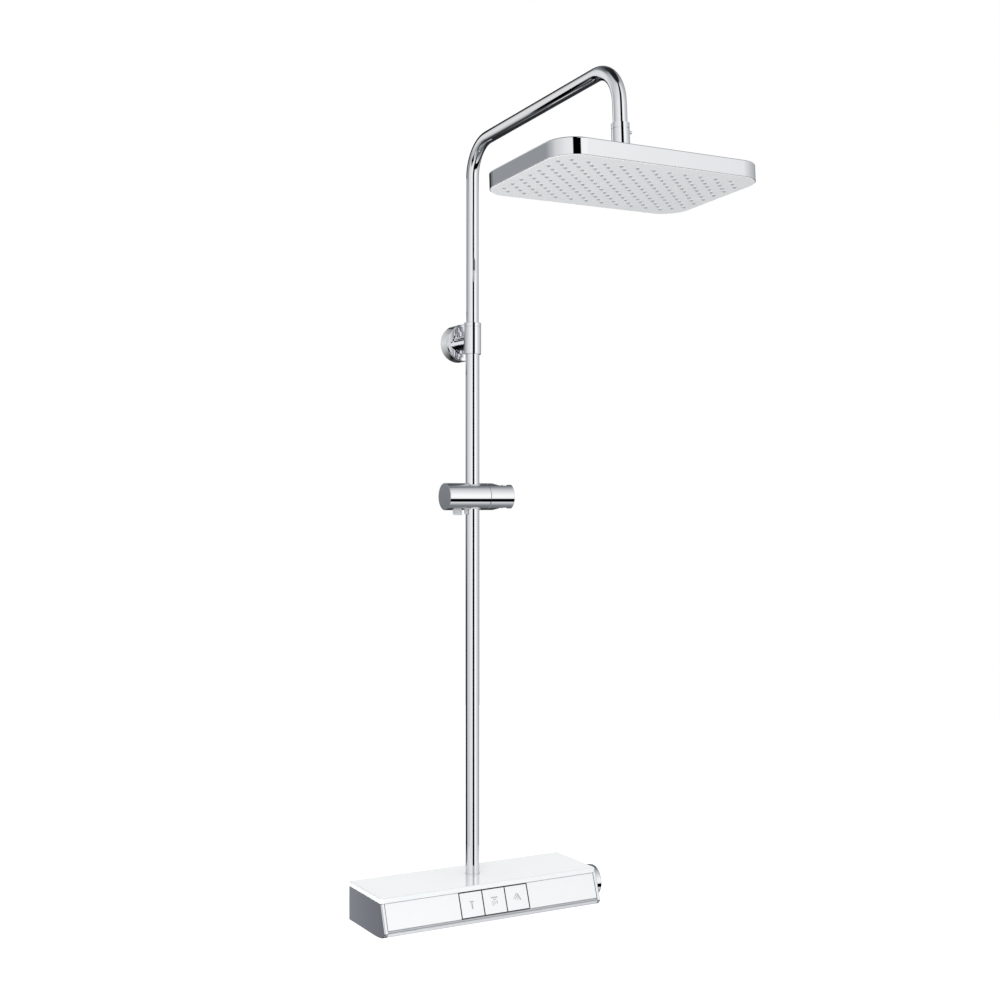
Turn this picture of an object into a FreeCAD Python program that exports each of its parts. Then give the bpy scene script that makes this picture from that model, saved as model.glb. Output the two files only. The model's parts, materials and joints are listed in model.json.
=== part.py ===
import FreeCAD, Part
import math
import os

# Rainfall shower column: a shelf mixer with three push buttons, a telescopic riser with a swivel
# arm, a sliding hand-shower holder and a rain head on a ball joint.
# Millimetres. X runs to the right, Y towards the wall and Z up. The origin lies on the wall plane,
# midway between the two water inlets.

Vec = FreeCAD.Vector

X_AXIS = Vec(1, 0, 0)
Y_AXIS = Vec(0, 1, 0)
Z_AXIS = Vec(0, 0, 1)

# ------------------------------------------------------------------ driving dimensions

COLUMN_Y = -54.0
INLET_HALF_SPACING = 75.0

# Shelf mixer casing
SHELF_HALF_LENGTH = 191.2
SHELF_BACK_Y = -0.8
SHELF_TOP_Z = 31.0
SHELF_BOTTOM_Z = -29.7
TOP_PLATE_THICKNESS = 7.4
TOP_PLATE_FRONT_CORNER = 5.0
TOP_PLATE_BACK_CORNER = 1.5
TOP_PLATE_EDGE = 1.4
FRONT_TOP_Y = -121.0
FRONT_LEAN = 19.3
ROUND_TOP_Z = -15.8
ROUND_BACK_Y = -91.0
CASING_WALL = 2.5
END_CAP_WALL = 3.0
END_CAP_WRAP = 5.4
END_CAP_EDGE = 1.8
PART_GAP = 0.4
PANEL_END_GAP = 0.8
PANEL_BOTTOM_Z = -14.2
PANEL_EDGE = 0.5
RIB_TOP_Z = -15.8
RIB_BOTTOM_Z = -17.1
RIB_INSET = 0.6
STRIP_TOP_Z = -18.1
STRIP_BACK_Y = -124.3
LIP_DEPTH = 4.8
LIP_REACH = 12.0
LIP_RISE = 8.0
WINDOW_HALF = 24.0
WINDOW_BOTTOM_Z = -23.0
PAD_XS = [-150.0, 0.0, 150.0]
PAD_HALF_WIDTH = 12.0
PAD_HALF_HEIGHT = 9.0

# Push buttons
BUTTON_PITCH = 40.0
BUTTON_WIDTH = 38.5
BUTTON_HEIGHT = 37.0
BUTTON_EDGE = 0.6
BUTTON_THICKNESS = 2.5
BUTTON_TRAVEL = 3.0
BUTTON_NAMES = ["hand_shower", "rain", "jet"]
BUTTON_GROUP_MARGIN = 0.8
STEM_RADIUS = 3.0
STEM_LENGTH = 26.0
STEM_COLLAR_RADIUS = 6.0
STEM_COLLAR_THICKNESS = 1.7
BUTTON_SPRING_RADIUS = 4.6
BUTTON_SPRING_WIRE = 0.9
BUTTON_SPRING_TURNS = 5
GUIDE_DEPTH = 6.0
GUIDE_THICKNESS = 2.0
GUIDE_MARGIN = 6.0
GUIDE_RAIL = 5.0
GUIDE_RAIL_LOW = -8.0
CARTRIDGE_DEPTH = 22.0
CARTRIDGE_LENGTH = 22.0
CARTRIDGE_RADIUS = 10.0
CARTRIDGE_HEAD = 2.4
CARTRIDGE_HEX = 21.0
BOSS_WALL = 3.0
BOSS_FLOOR = 6.0
BOSS_PORT_RADIUS = 4.0

# Gaps between parts on different bodies: clear of each other, or a running fit
CLEARANCE = 0.3
RUNNING = 0.06

# Valve body and thermostat
VALVE_Y = -77.0
VALVE_Z = -1.7
VALVE_RADIUS = 18.0
VALVE_LEFT_X = -112.0
VALVE_RIGHT_X = 170.0
WATERWAY_RADIUS = 9.0
VALVE_END_WALL = 5.0
BRANCH_RADIUS = 8.0
INLET_BRANCH_RADIUS = 11.0
INLET_COLLAR_RADIUS = 13.0
INLET_COLLAR_BACK_Y = -28.2
INLET_COLLAR_FRONT_Y = -31.0
RISER_BRANCH_RADIUS = 12.5
RISER_BOSS_RADIUS = 14.0
RISER_BOSS_TOP_Z = 12.0
RISER_BOSS_DROP = 15.0
RISER_WATER_RADIUS = 7.0
RISER_WATER_DROP = 8.5
RISER_SOCKET_Z = 2.0
THERMOSTAT_X = 90.0
THERMOSTAT_RADIUS = 15.0
THERMOSTAT_NUT_HEX = 34.0
THERMOSTAT_NUT_LENGTH = 6.0
THERMOSTAT_NECK_RADIUS = 13.5
THERMOSTAT_NECK_X = 187.0
THERMOSTAT_BORE = 6.0
SCREW_XS = [-60.0, 60.0, 130.0]
SCREW_BOSS_RADIUS = 6.0
SCREW_BOSS_SINK = 10.0
SCREW_RADIUS = 2.05
SCREW_HEAD_RADIUS = 4.0
SCREW_HEAD_HEIGHT = 2.2
SCREW_TOP_Z = -20.0

# Temperature knob
KNOB_RADIUS = 25.2
KNOB_BACK_X = 192.4
KNOB_FRONT_X = 216.0
KNOB_EDGE = 2.4
KNOB_WALL = 5.0
KNOB_CAVITY_X = 208.0
KNOB_OPENING_RADIUS = 16.0
HUB_RADIUS = 12.0
COVER_RADIUS = 20.4
COVER_DEPTH = 1.6
COVER_PROUD = 0.8
COVER_EDGE = 0.6
KNOB_SCREW_RADIUS = 2.0
KNOB_SCREW_INNER_X = 196.0
KNOB_SCREW_HEAD_RADIUS = 4.0
KNOB_SCREW_HEAD_X = 207.5
KNOB_SCREW_HEAD_HEIGHT = 3.3
SPINDLE_RADIUS = 7.5
SPINDLE_INNER_X = 170.0
SPINDLE_END_X = 203.0
SPINDLE_TAP_X = 194.0
OVERRIDE_X = 203.5
OVERRIDE_LENGTH = 8.0
OVERRIDE_WIDTH = 6.0
OVERRIDE_PROUD = 1.3
OVERRIDE_EDGE = 0.5
OVERRIDE_FOOT_HALF = 4.4
OVERRIDE_FOOT_DEPTH = 4.0
OVERRIDE_SPRING_RADIUS = 2.2
OVERRIDE_SPRING_WIRE = 0.7
OVERRIDE_SPRING_TURNS = 3

# Inlets and outlets
G12_RADIUS = 10.48
G34_RADIUS = 13.2
UNION_OFFSET_X = 6.6
UNION_FLANGE_RADIUS = 19.0
UNION_BORE = 6.5
UNION_FRONT_Y = -26.0
UNION_FLANGE_Y = -9.0
UNION_WALL_DEPTH = 14.0
NUT_HEX = 32.0
NUT_FRONT_Y = -34.4
NUT_LENGTH = 22.0
NUT_SHOULDER_Y = -31.2
WASHER_RADIUS = 12.8
WASHER_BORE = 7.0
WASHER_THICKNESS = 2.0
CHECK_VALVE_RADIUS = 7.8
CHECK_VALVE_BORE = 4.0
CHECK_VALVE_FRONT_Y = -46.0
CHECK_VALVE_BACK_Y = -32.0
HOSE_OUTLET_X = -95.0
HOSE_THREAD_LENGTH = 9.0
HOSE_BORE = 6.0
HOSE_FLANGE_RADIUS = 13.0
HOSE_FLANGE_PROUD = -1.0
HOSE_FLANGE_TOP_Z = -26.0
HOSE_SPIGOT_RADIUS = 9.4
HOSE_SPIGOT_TOP_Z = -14.5

# Riser
LOWER_RADIUS = 11.0
LOWER_BORE = 10.4
UPPER_RADIUS = 10.0
UPPER_BORE = 9.0
RISER_BOTTOM_Z = 16.3
RISER_TOP_Z = 903.0
NIPPLE_HEX = 22.0
NIPPLE_HEX_Z = 12.0
NIPPLE_HEX_HEIGHT = 4.0
NIPPLE_BOTTOM_Z = 2.2
NIPPLE_TOP_Z = 46.0
NIPPLE_BORE = 7.0
NIPPLE_GROOVE_ZS = [24.0, 34.0]
NIPPLE_GROOVE_RADIUS = 9.0
GROOVE_HALF = 1.2
GROOVE_OUTSIDE = 12.0
O_RING_GAP = 0.04
BUSH_DEPTH = 24.0
PISTON_LENGTH = 22.0
PISTON_SPIGOT = 16.0
PISTON_BORE = 6.5
PISTON_GROOVE_RISES = [6.0, 14.0]
PISTON_GROOVE_RADIUS = 9.1
PISTON_GROOVE_HALF = 1.1
UPPER_BOTTOM_Z = 640.0
ARM_CORNER_Z = 1193.9
ARM_TILT = 3.4
ARM_RUN = 416.7
BEND_RADIUS = 55.0

# Wall bracket
BRACKET_Z = 881.6
COLLAR_RADIUS = 13.75
COLLAR_BOTTOM_Z = 860.5
COLLAR_TOP_Z = 904.5
COLLAR_EDGE = 0.6
LOCK_RING_HEIGHT = 6.2
LOCK_RING_EDGE = 0.6
STUB_RADIUS = 11.9
STUB_BORE = 9.6
STUB_BORE_Y = -18.0
STUB_END_Y = -6.0
FLANGE_RADIUS = 30.0
FLANGE_DEPTH = 24.0
FLANGE_WALL = 3.0
FLANGE_FRONT_WALL = 4.0
FLANGE_EDGE = 2.0
FLANGE_STEP_RADIUS = 19.0
FLANGE_STEP_HEIGHT = 2.5
FLANGE_WALL_GAP = 0.4
WALL_PLATE_RADIUS = 26.5
WALL_PLATE_THICKNESS = 5.0
WALL_BOSS_RADIUS = 9.5
WALL_BOSS_Y = -17.0
BRACKET_SCREW_SPACING = 32.0
BRACKET_HOLE_RADIUS = 2.75
GRUB_SCREW_Y = -11.0
GRUB_SCREW_RADIUS = 2.4
GRUB_HOLE_RADIUS = 2.5
GRUB_SCREW_LOW = 29.4
GRUB_SCREW_HIGH = 9.6

# Hand-shower slider
SLIDER_Z = 633.2
SLIDER_RADIUS = 21.6
SLIDER_LEFT_X = -50.2
SLIDER_SEAM_X = 23.0
SLIDER_EDGE = 0.7
LINER_RADIUS = 13.5
LINER_HALF_HEIGHT = 19.5
LINER_TONGUE_DROP = 28.0
LINER_TONGUE_HALF = 4.0
HOLDER_END_X = 66.2
HOLDER_FLAT_Z = 17.8
HOLDER_SLOPE_X = 36.5
HOLDER_FLAT_X = 45.0
HOLDER_LIP_X = 58.0
HOLDER_LIP_RISE = 1.3
HOLDER_LIP_RUN = 2.0
HOLDER_SLOT_HALF = 7.0
SOCKET_X = 46.0
SOCKET_TOP_RADIUS = 12.3
SOCKET_BOTTOM_RADIUS = 10.6
AXLE_RADIUS = 2.5
AXLE_INNER_X = 16.0
AXLE_OUTER_X = 30.2
AXLE_HEAD_RADIUS = 4.5
AXLE_HEAD_HEIGHT = 2.6
AXLE_RECESS_X = 29.8
WASHER_OUTER_RADIUS = 15.0
WASHER_HOLE_RADIUS = 3.0
FRICTION_WASHER_THICKNESS = 1.1
RELEASE_X = -27.0
RELEASE_WIDTH = 11.0
RELEASE_DEPTH = 11.0
RELEASE_LOW = 29.5
RELEASE_HIGH = 8.0
RELEASE_EDGE = 1.5
EAR_WIDTH = 2.0
EAR_HEIGHT = 4.0
RELEASE_TRAVEL_ROOM = 4.0
RELEASE_SPRING_RADIUS = 3.2
RELEASE_SPRING_WIRE = 0.8
RELEASE_SPRING_TURNS = 6
RELEASE_SPRING_POCKET = 4.5

# Drop, ball joint and rain head, measured along the drop tube's axis from the arm's outer corner
SLEEVE_TOP = 84.0
SLEEVE_SEAM = 92.0
SLEEVE_BOTTOM = 118.0
SLEEVE_RADIUS = 12.5
SLEEVE_BORE = 9.0
SEAM_DEPTH = 0.5
SEAM_HALF = 0.4
PIN_DROP = 2.2
PIN_RADIUS = 1.5
PIN_END_X = 16.2
PIN_KNOB_RADIUS = 2.0
PIN_KNOB_LENGTH = 2.6
DROP_END = 96.0
BALL_DROP = 131.5
BALL_RADIUS = 10.5
SEAT_THICKNESS = 0.8
SEAT_SPAN = [-9.0, -3.5]
RING_SPAN = [2.0, 6.2]
NECK_RADIUS = 5.0
STEM_THREAD_RADIUS = 8.9
STEM_BORE = 3.2
SOCKET_NUT_RADIUS = 17.5
SOCKET_NUT_RISE = 8.0
SOCKET_NUT_EDGE = 2.5
SOCKET_SPIGOT_RADIUS = 8.0
SOCKET_SPIGOT_LENGTH = 6.0
SOCKET_WATER_RADIUS = 4.0
HEAD_TOP_DROP = 147.0
HEAD_FORWARDS = 0.5
HEAD_WIDTH = 322.2
HEAD_DEPTH = 211.7
HEAD_CORNER = 38.0
HEAD_BAND = 22.0
HEAD_WALL = 2.6
HEAD_TOP_EDGE = 1.8
HEAD_BOSS_RADIUS = 3.6
HEAD_BOSS_LOW = -11.8
HEAD_SCREW_XS = [-115.0, 0.0, 115.0]
HEAD_SCREW_YS = [-84.0, 84.0]
HEAD_SCREW_RADIUS = 1.5
HEAD_SCREW_HEAD_RADIUS = 3.2
HEAD_SCREW_HEAD_HEIGHT = 2.0
HEAD_SCREW_TOP = -5.0
CHAMBER_INSET = 11.0
CHAMBER_WALL = 2.0
CHAMBER_LOW = -14.0
CHAMBER_OUTLET_XS = [-100.0, -50.0, 0.0, 50.0, 100.0]
CHAMBER_OUTLET_YS = [-50.0, 0.0, 50.0]
CHAMBER_OUTLET_RADIUS = 4.0
SHEET_INSET = 10.0
SHEET_TOP = -18.6
SHEET_THICKNESS = 1.4
FACE_STEP = 1.0
FACE_DROP = 1.0
FACE_EDGE = 0.5
FACE_GAP = 0.3
FACE_TOP = -20.2
NOZZLE_PITCH_X = 25.0
NOZZLE_ROW_PITCH = 11.5
NOZZLE_ROWS = 15
NOZZLE_COLUMN_REACH = 7
NOZZLE_BORDER = 15.0
NOZZLE_RADIUS = 2.3
NOZZLE_TAPER = 0.4
NOZZLE_PROUD = 1.3
NOZZLE_HOLE_GAP = 0.15

# ------------------------------------------------------------------ derived places

CASING_TOP_Z = SHELF_TOP_Z - TOP_PLATE_THICKNESS - PART_GAP
PANEL_TOP_Z = CASING_TOP_Z - PART_GAP
LEAN = math.radians(FRONT_LEAN)
END_CAP_INNER_X = SHELF_HALF_LENGTH - END_CAP_WRAP
BUTTON_GROUP_HALF = 1.5 * BUTTON_PITCH
STEM_COLLAR_TOP = -GUIDE_DEPTH - GUIDE_THICKNESS - CLEARANCE
UNION_X = INLET_HALF_SPACING - UNION_OFFSET_X
OVERRIDE_FOOT_TOP = VALVE_Z + KNOB_RADIUS - KNOB_WALL - 1
PISTON_BOTTOM_Z = UPPER_BOTTOM_Z - PISTON_LENGTH
LOCK_RING_BOTTOM_Z = COLLAR_TOP_Z + CLEARANCE
SEAM_PLACE = SLEEVE_TOP - SLEEVE_SEAM
BEYOND = 200.0
FACE_MIDDLE_Z = (PANEL_TOP_Z + PANEL_BOTTOM_Z) / 2
TILT = math.radians(ARM_TILT)
ARM_CORNER = Vec(0, COLUMN_Y, ARM_CORNER_Z)
ARM_DIRECTION = Vec(0, -math.cos(TILT), math.sin(TILT))
DROP_DIRECTION = Vec(0, -math.sin(TILT), -math.cos(TILT))
OUTER_CORNER = ARM_CORNER + ARM_DIRECTION * ARM_RUN
SEAT_INNER = BALL_RADIUS + RUNNING
SEAT_OUTER = SEAT_INNER + SEAT_THICKNESS
SOCKET_CAVITY = SEAT_OUTER + RUNNING


def along_drop(distance):
    """A point on the drop tube's axis."""
    return OUTER_CORNER + DROP_DIRECTION * distance


def front_y(z, inset=0.0):
    """Y of the sloping front at height z, moved inwards by inset."""
    return FRONT_TOP_Y - (PANEL_TOP_Z - z) * math.tan(LEAN) + inset / math.cos(LEAN)


# ------------------------------------------------------------------ shape helpers

def rod(radius, length, base, axis=Z_AXIS):
    return Part.makeCylinder(radius, length, base, axis)


def rod_x(radius, x0, x1, y, z):
    return rod(radius, x1 - x0, Vec(x0, y, z), X_AXIS)


def rod_y(radius, y0, y1, x, z):
    return rod(radius, y1 - y0, Vec(x, y0, z), Y_AXIS)


def rod_z(radius, z0, z1, x=0.0, y=COLUMN_Y):
    return rod(radius, z1 - z0, Vec(x, y, z0), Z_AXIS)


def sleeve_z(outer, inner, z0, z1, x=0.0, y=COLUMN_Y):
    return rod_z(outer, z0, z1, x, y).cut(rod_z(inner, z0 - 1, z1 + 1, x, y))


def block(x0, x1, y0, y1, z0, z1):
    return Part.makeBox(x1 - x0, y1 - y0, z1 - z0, Vec(x0, y0, z0))


def join(shapes):
    return shapes[0].multiFuse(shapes[1:]).removeSplitter()


def prism_x(points, x0, x1):
    """A prism along X over a closed outline of (y, z) points."""
    corners = [Vec(x0, y, z) for y, z in points]
    outline = Part.makePolygon(corners + corners[:1])
    return Part.Face(outline).extrude(Vec(x1 - x0, 0, 0))


def hexagon(across_flats, length, base, axis):
    """A hexagonal prism from base along axis."""
    radius = across_flats / 2 / math.cos(math.pi / 6)
    corners = [Vec(radius * math.cos(k * math.pi / 3), radius * math.sin(k * math.pi / 3), 0)
               for k in range(7)]
    solid = Part.Face(Part.makePolygon(corners)).extrude(Vec(0, 0, length))
    solid.Placement = FreeCAD.Placement(base, FreeCAD.Rotation(Z_AXIS, axis))
    return solid


def rounded_slab(width, depth, corner, z0, z1):
    """An upright slab with rounded corners, centred on the Z axis."""
    slab = block(-width / 2, width / 2, -depth / 2, depth / 2, z0, z1)
    uprights = [e for e in slab.Edges if abs(e.Vertexes[0].Z - e.Vertexes[1].Z) > 0.5 * (z1 - z0)]
    return slab.makeFillet(corner, uprights)


def edges_at_z(shape, z):
    """The edges that lie wholly in the plane at height z."""
    return [e for e in shape.Edges
            if abs(e.BoundBox.ZMin - z) < 0.01 and abs(e.BoundBox.ZMax - z) < 0.01]


def coil(radius, wire, length, turns):
    """A helical spring along Z from the origin, with its wire's centre line as long as length."""
    helix = Part.makeHelix(length / turns, length, radius)
    section = Part.Wire([Part.makeCircle(wire / 2, Vec(radius, 0, 0), Y_AXIS)])
    return Part.Wire(helix.Edges).makePipeShell([section], True, True)


def ring_in_groove(groove_radius, z):
    """An O-ring round the riser's axis that fills the way from a groove's floor to the lower bore."""
    section = (LOWER_BORE - 2 * O_RING_GAP - groove_radius) / 2
    return Part.makeTorus(groove_radius + O_RING_GAP + section, section, Vec(0, COLUMN_Y, z), Z_AXIS)


def bent_rod(points, radius, bend):
    """A round bar along points, with each inner corner turned on an arc of radius bend."""
    edges = []
    start = points[0]
    for corner, after in zip(points[1:-1], points[2:]):
        back = (start - corner).normalize()
        onward = (after - corner).normalize()
        half = back.getAngle(onward) / 2
        reach = bend / math.tan(half)
        entry = corner + back * reach
        leave = corner + onward * reach
        centre = corner + (back + onward).normalize() * (bend / math.sin(half))
        middle = centre + (corner - centre).normalize() * bend
        edges.append(Part.LineSegment(start, entry).toShape())
        edges.append(Part.Arc(entry, middle, leave).toShape())
        start = leave
    edges.append(Part.LineSegment(start, points[-1]).toShape())
    section = Part.makeCircle(radius, points[0], points[1] - points[0])
    return Part.Wire(edges).makePipeShell([Part.Wire([section])], True, True)


def casing_profile(inset, x0, x1):
    """The casing's solid cross-section, shrunk by inset all round but at the open top."""
    back = SHELF_BACK_Y - inset
    bottom = SHELF_BOTTOM_Z + inset
    round_top = ROUND_TOP_Z - inset * math.sin(LEAN)
    on_front = Vec(x0, front_y(round_top, inset), round_top)
    corner = Vec(x0, front_y(bottom, inset), bottom)
    on_bottom = Vec(x0, ROUND_BACK_Y, bottom)
    rounding = Part.BezierCurve()
    rounding.setPoles([on_front, corner, on_bottom])
    top_front = Vec(x0, front_y(CASING_TOP_Z, inset), CASING_TOP_Z)
    top_back = Vec(x0, back, CASING_TOP_Z)
    bottom_back = Vec(x0, back, bottom)
    edges = [
        Part.LineSegment(top_back, top_front).toShape(),
        Part.LineSegment(top_front, on_front).toShape(),
        rounding.toShape(),
        Part.LineSegment(on_bottom, bottom_back).toShape(),
        Part.LineSegment(bottom_back, top_back).toShape(),
    ]
    return Part.Face(Part.Wire(edges)).extrude(Vec(x1 - x0, 0, 0))


def on_front(shape, x=0.0):
    """Places a shape drawn on the front face: local Z points out of it and local Y up along it."""
    placed = shape.copy()
    turn = FreeCAD.Rotation(X_AXIS, 90 - FRONT_LEAN)
    placed.Placement = FreeCAD.Placement(Vec(x, front_y(FACE_MIDDLE_Z), FACE_MIDDLE_Z), turn)
    return placed


def on_drop(shape, distance, forwards=0.0):
    """Places a shape drawn about the Z axis on the drop's axis, with local Z up along it."""
    placed = shape.copy()
    turned = FreeCAD.Placement(along_drop(distance), FreeCAD.Rotation(X_AXIS, -ARM_TILT))
    placed.Placement = turned.multiply(FreeCAD.Placement(Vec(0, -forwards, 0), FreeCAD.Rotation()))
    return placed


# ------------------------------------------------------------------ shelf casing

def shelf_top_plate():
    """Glass shelf with a hole that the riser passes through."""
    bottom = SHELF_TOP_Z - TOP_PLATE_THICKNESS
    plate = block(-SHELF_HALF_LENGTH, SHELF_HALF_LENGTH, FRONT_TOP_Y, SHELF_BACK_Y, bottom, SHELF_TOP_Z)
    uprights = [e for e in plate.Edges if e.BoundBox.ZLength > TOP_PLATE_THICKNESS / 2]
    front = [e for e in uprights if e.BoundBox.YMin < COLUMN_Y]
    plate = plate.makeFillet(TOP_PLATE_FRONT_CORNER, front)
    uprights = [e for e in plate.Edges if e.BoundBox.ZLength > TOP_PLATE_THICKNESS / 2]
    back = [e for e in uprights if e.BoundBox.YMin > COLUMN_Y]
    plate = plate.makeFillet(TOP_PLATE_BACK_CORNER, back)
    plate = plate.makeFillet(TOP_PLATE_EDGE, edges_at_z(plate, SHELF_TOP_Z))
    return plate.cut(rod_z(LOWER_RADIUS + CLEARANCE, bottom - 1, SHELF_TOP_Z + 1))


def undertray():
    """Bottom and back wall of the casing, with a dark lip that carries the front strip."""
    x0 = -END_CAP_INNER_X + PART_GAP
    x1 = -x0
    tray = casing_profile(0, x0, x1).cut(casing_profile(CASING_WALL, x0 - 1, x1 + 1))
    tray = tray.cut(block(x0, x1, -BEYOND, STRIP_BACK_Y + PART_GAP, -BEYOND, BEYOND))
    tray = tray.cut(block(x0, x1, -BEYOND, COLUMN_Y, STRIP_TOP_Z, BEYOND))
    lip = casing_profile(CASING_WALL, x0, x1).cut(casing_profile(LIP_DEPTH, x0 - 1, x1 + 1))
    lip_top = PANEL_BOTTOM_Z + LIP_RISE
    lip = lip.common(block(x0, x1, -BEYOND, STRIP_BACK_Y + LIP_REACH, -BEYOND, lip_top))
    notch_half = BUTTON_GROUP_HALF + 1
    lip = lip.cut(block(-notch_half, notch_half, -BEYOND, 0, RIB_TOP_Z, BEYOND))
    rib = casing_profile(RIB_INSET, x0, x1).cut(casing_profile(LIP_DEPTH, x0 - 1, x1 + 1))
    rib = rib.common(block(x0, x1, -BEYOND, STRIP_BACK_Y, RIB_BOTTOM_Z, RIB_TOP_Z))
    tray = join([tray, lip, rib])
    for side in (-1, 1):
        x = side * INLET_HALF_SPACING
        tray = tray.cut(block(x - WINDOW_HALF, x + WINDOW_HALF, SHELF_BACK_Y - CASING_WALL - 1, 1,
                              WINDOW_BOTTOM_Z, BEYOND))
    below = SHELF_BOTTOM_Z - 1
    above = SHELF_BOTTOM_Z + CASING_WALL + 1
    tray = tray.cut(rod_z(HOSE_FLANGE_RADIUS + PART_GAP, below, above, HOSE_OUTLET_X, VALVE_Y))
    for x in SCREW_XS:
        tray = tray.cut(rod_z(SCREW_RADIUS + CLEARANCE, below, above, x, VALVE_Y))
    return tray


def wall_pads():
    """Three rubber pads that keep the casing's back off the tiles."""
    return Part.makeCompound([block(x - PAD_HALF_WIDTH, x + PAD_HALF_WIDTH, SHELF_BACK_Y, 0,
                                    -PAD_HALF_HEIGHT, PAD_HALF_HEIGHT) for x in PAD_XS])


def end_cap(side):
    """Side plate with a rim that wraps onto the front, bottom and back."""
    cap = casing_profile(0, END_CAP_INNER_X, SHELF_HALF_LENGTH)
    rim = [e for e in cap.Edges if e.BoundBox.XMin > SHELF_HALF_LENGTH - 0.01
           and e.BoundBox.ZMin < CASING_TOP_Z - 1]
    cap = cap.makeFillet(END_CAP_EDGE, rim)
    hollow = casing_profile(END_CAP_WALL, END_CAP_INNER_X - 1, SHELF_HALF_LENGTH - END_CAP_WALL)
    cap = cap.cut(hollow)
    if side > 0:
        return cap.cut(rod_x(KNOB_OPENING_RADIUS, END_CAP_INNER_X, SHELF_HALF_LENGTH + 1, VALVE_Y, VALVE_Z))
    return cap.mirror(Vec(0, 0, 0), X_AXIS)


def front_panel(side):
    """Sloping front panel between an end cap and the buttons."""
    inner = BUTTON_GROUP_HALF + BUTTON_GROUP_MARGIN
    outer = END_CAP_INNER_X - PANEL_END_GAP
    outline = [
        (front_y(PANEL_TOP_Z), PANEL_TOP_Z),
        (front_y(PANEL_BOTTOM_Z), PANEL_BOTTOM_Z),
        (front_y(PANEL_BOTTOM_Z, CASING_WALL), PANEL_BOTTOM_Z),
        (front_y(PANEL_TOP_Z, CASING_WALL), PANEL_TOP_Z),
    ]
    x0, x1 = sorted((side * inner, side * outer))
    panel = prism_x(outline, x0, x1)
    face_middle = Vec((x0 + x1) / 2, front_y(FACE_MIDDLE_Z), FACE_MIDDLE_Z)
    front = min(panel.Faces, key=lambda face: face.CenterOfMass.distanceToPoint(face_middle))
    return panel.makeFillet(PANEL_EDGE, front.Edges)


def front_trim_strip():
    """Chrome strip that follows the casing's rounded lower front edge."""
    x0 = -END_CAP_INNER_X + PART_GAP
    x1 = -x0
    shell = casing_profile(0, x0, x1).cut(casing_profile(CASING_WALL, x0 - 1, x1 + 1))
    return shell.common(block(x0, x1, -BEYOND, STRIP_BACK_Y, -BEYOND, STRIP_TOP_Z))


def button_guide_frame():
    """Dark frame behind the buttons: a plate with three stem holes between two side rails."""
    half = BUTTON_GROUP_HALF + GUIDE_MARGIN
    low = -BUTTON_HEIGHT / 2 - GUIDE_THICKNESS
    high = BUTTON_HEIGHT / 2
    back = -GUIDE_DEPTH - GUIDE_THICKNESS
    pieces = [block(-half, half, low, high, back, -GUIDE_DEPTH)]
    for x0 in (-half, half - GUIDE_RAIL):
        pieces.append(block(x0, x0 + GUIDE_RAIL, GUIDE_RAIL_LOW, high, back, -CASING_WALL))
    frame = join(pieces)
    for k in range(-1, 2):
        x = k * BUTTON_PITCH
        frame = frame.cut(rod_z(STEM_RADIUS + CLEARANCE, back - 1, 0, x, 0))
    return on_front(frame)


# ------------------------------------------------------------------ push buttons

def button_cap(x):
    """Button plate with its stem and the collar that stops it behind the guide frame."""
    half_w = BUTTON_WIDTH / 2
    half_h = BUTTON_HEIGHT / 2
    plate = block(-half_w, half_w, -half_h, half_h, -BUTTON_THICKNESS, 0)
    plate = plate.makeFillet(BUTTON_EDGE, edges_at_z(plate, 0))
    stem = rod_z(STEM_RADIUS, -STEM_LENGTH, -BUTTON_THICKNESS, 0, 0)
    collar_bottom = STEM_COLLAR_TOP - STEM_COLLAR_THICKNESS
    collar = rod_z(STEM_COLLAR_RADIUS, collar_bottom, STEM_COLLAR_TOP, 0, 0)
    return on_front(join([plate, stem, collar]), x)


def button_spring(x):
    """Spring round the stem, between its collar and the cartridge."""
    top = STEM_COLLAR_TOP - STEM_COLLAR_THICKNESS
    wire = BUTTON_SPRING_WIRE
    length = CARTRIDGE_DEPTH + top - wire - 2 * CLEARANCE
    spring = coil(BUTTON_SPRING_RADIUS, wire, length, BUTTON_SPRING_TURNS)
    spring.translate(Vec(0, 0, -CARTRIDGE_DEPTH + wire / 2 + CLEARANCE))
    return on_front(Part.makeCompound([spring]), x)


def shutoff_cartridges():
    """Three push cartridges with hexagonal heads, bored for the buttons' stems."""
    top = -CARTRIDGE_DEPTH
    body = rod_z(CARTRIDGE_RADIUS, top - CARTRIDGE_LENGTH, top, 0, 0)
    head = hexagon(CARTRIDGE_HEX, CARTRIDGE_HEAD, Vec(0, 0, top - CARTRIDGE_HEAD), Z_AXIS)
    bore = rod_z(STEM_RADIUS + CLEARANCE, -STEM_LENGTH - BUTTON_TRAVEL - 3, top + 1, 0, 0)
    cartridge = join([body, head]).cut(bore)
    return Part.makeCompound([on_front(cartridge, k * BUTTON_PITCH) for k in (-1, 0, 1)])


# ------------------------------------------------------------------ valve body and water inlets

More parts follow.
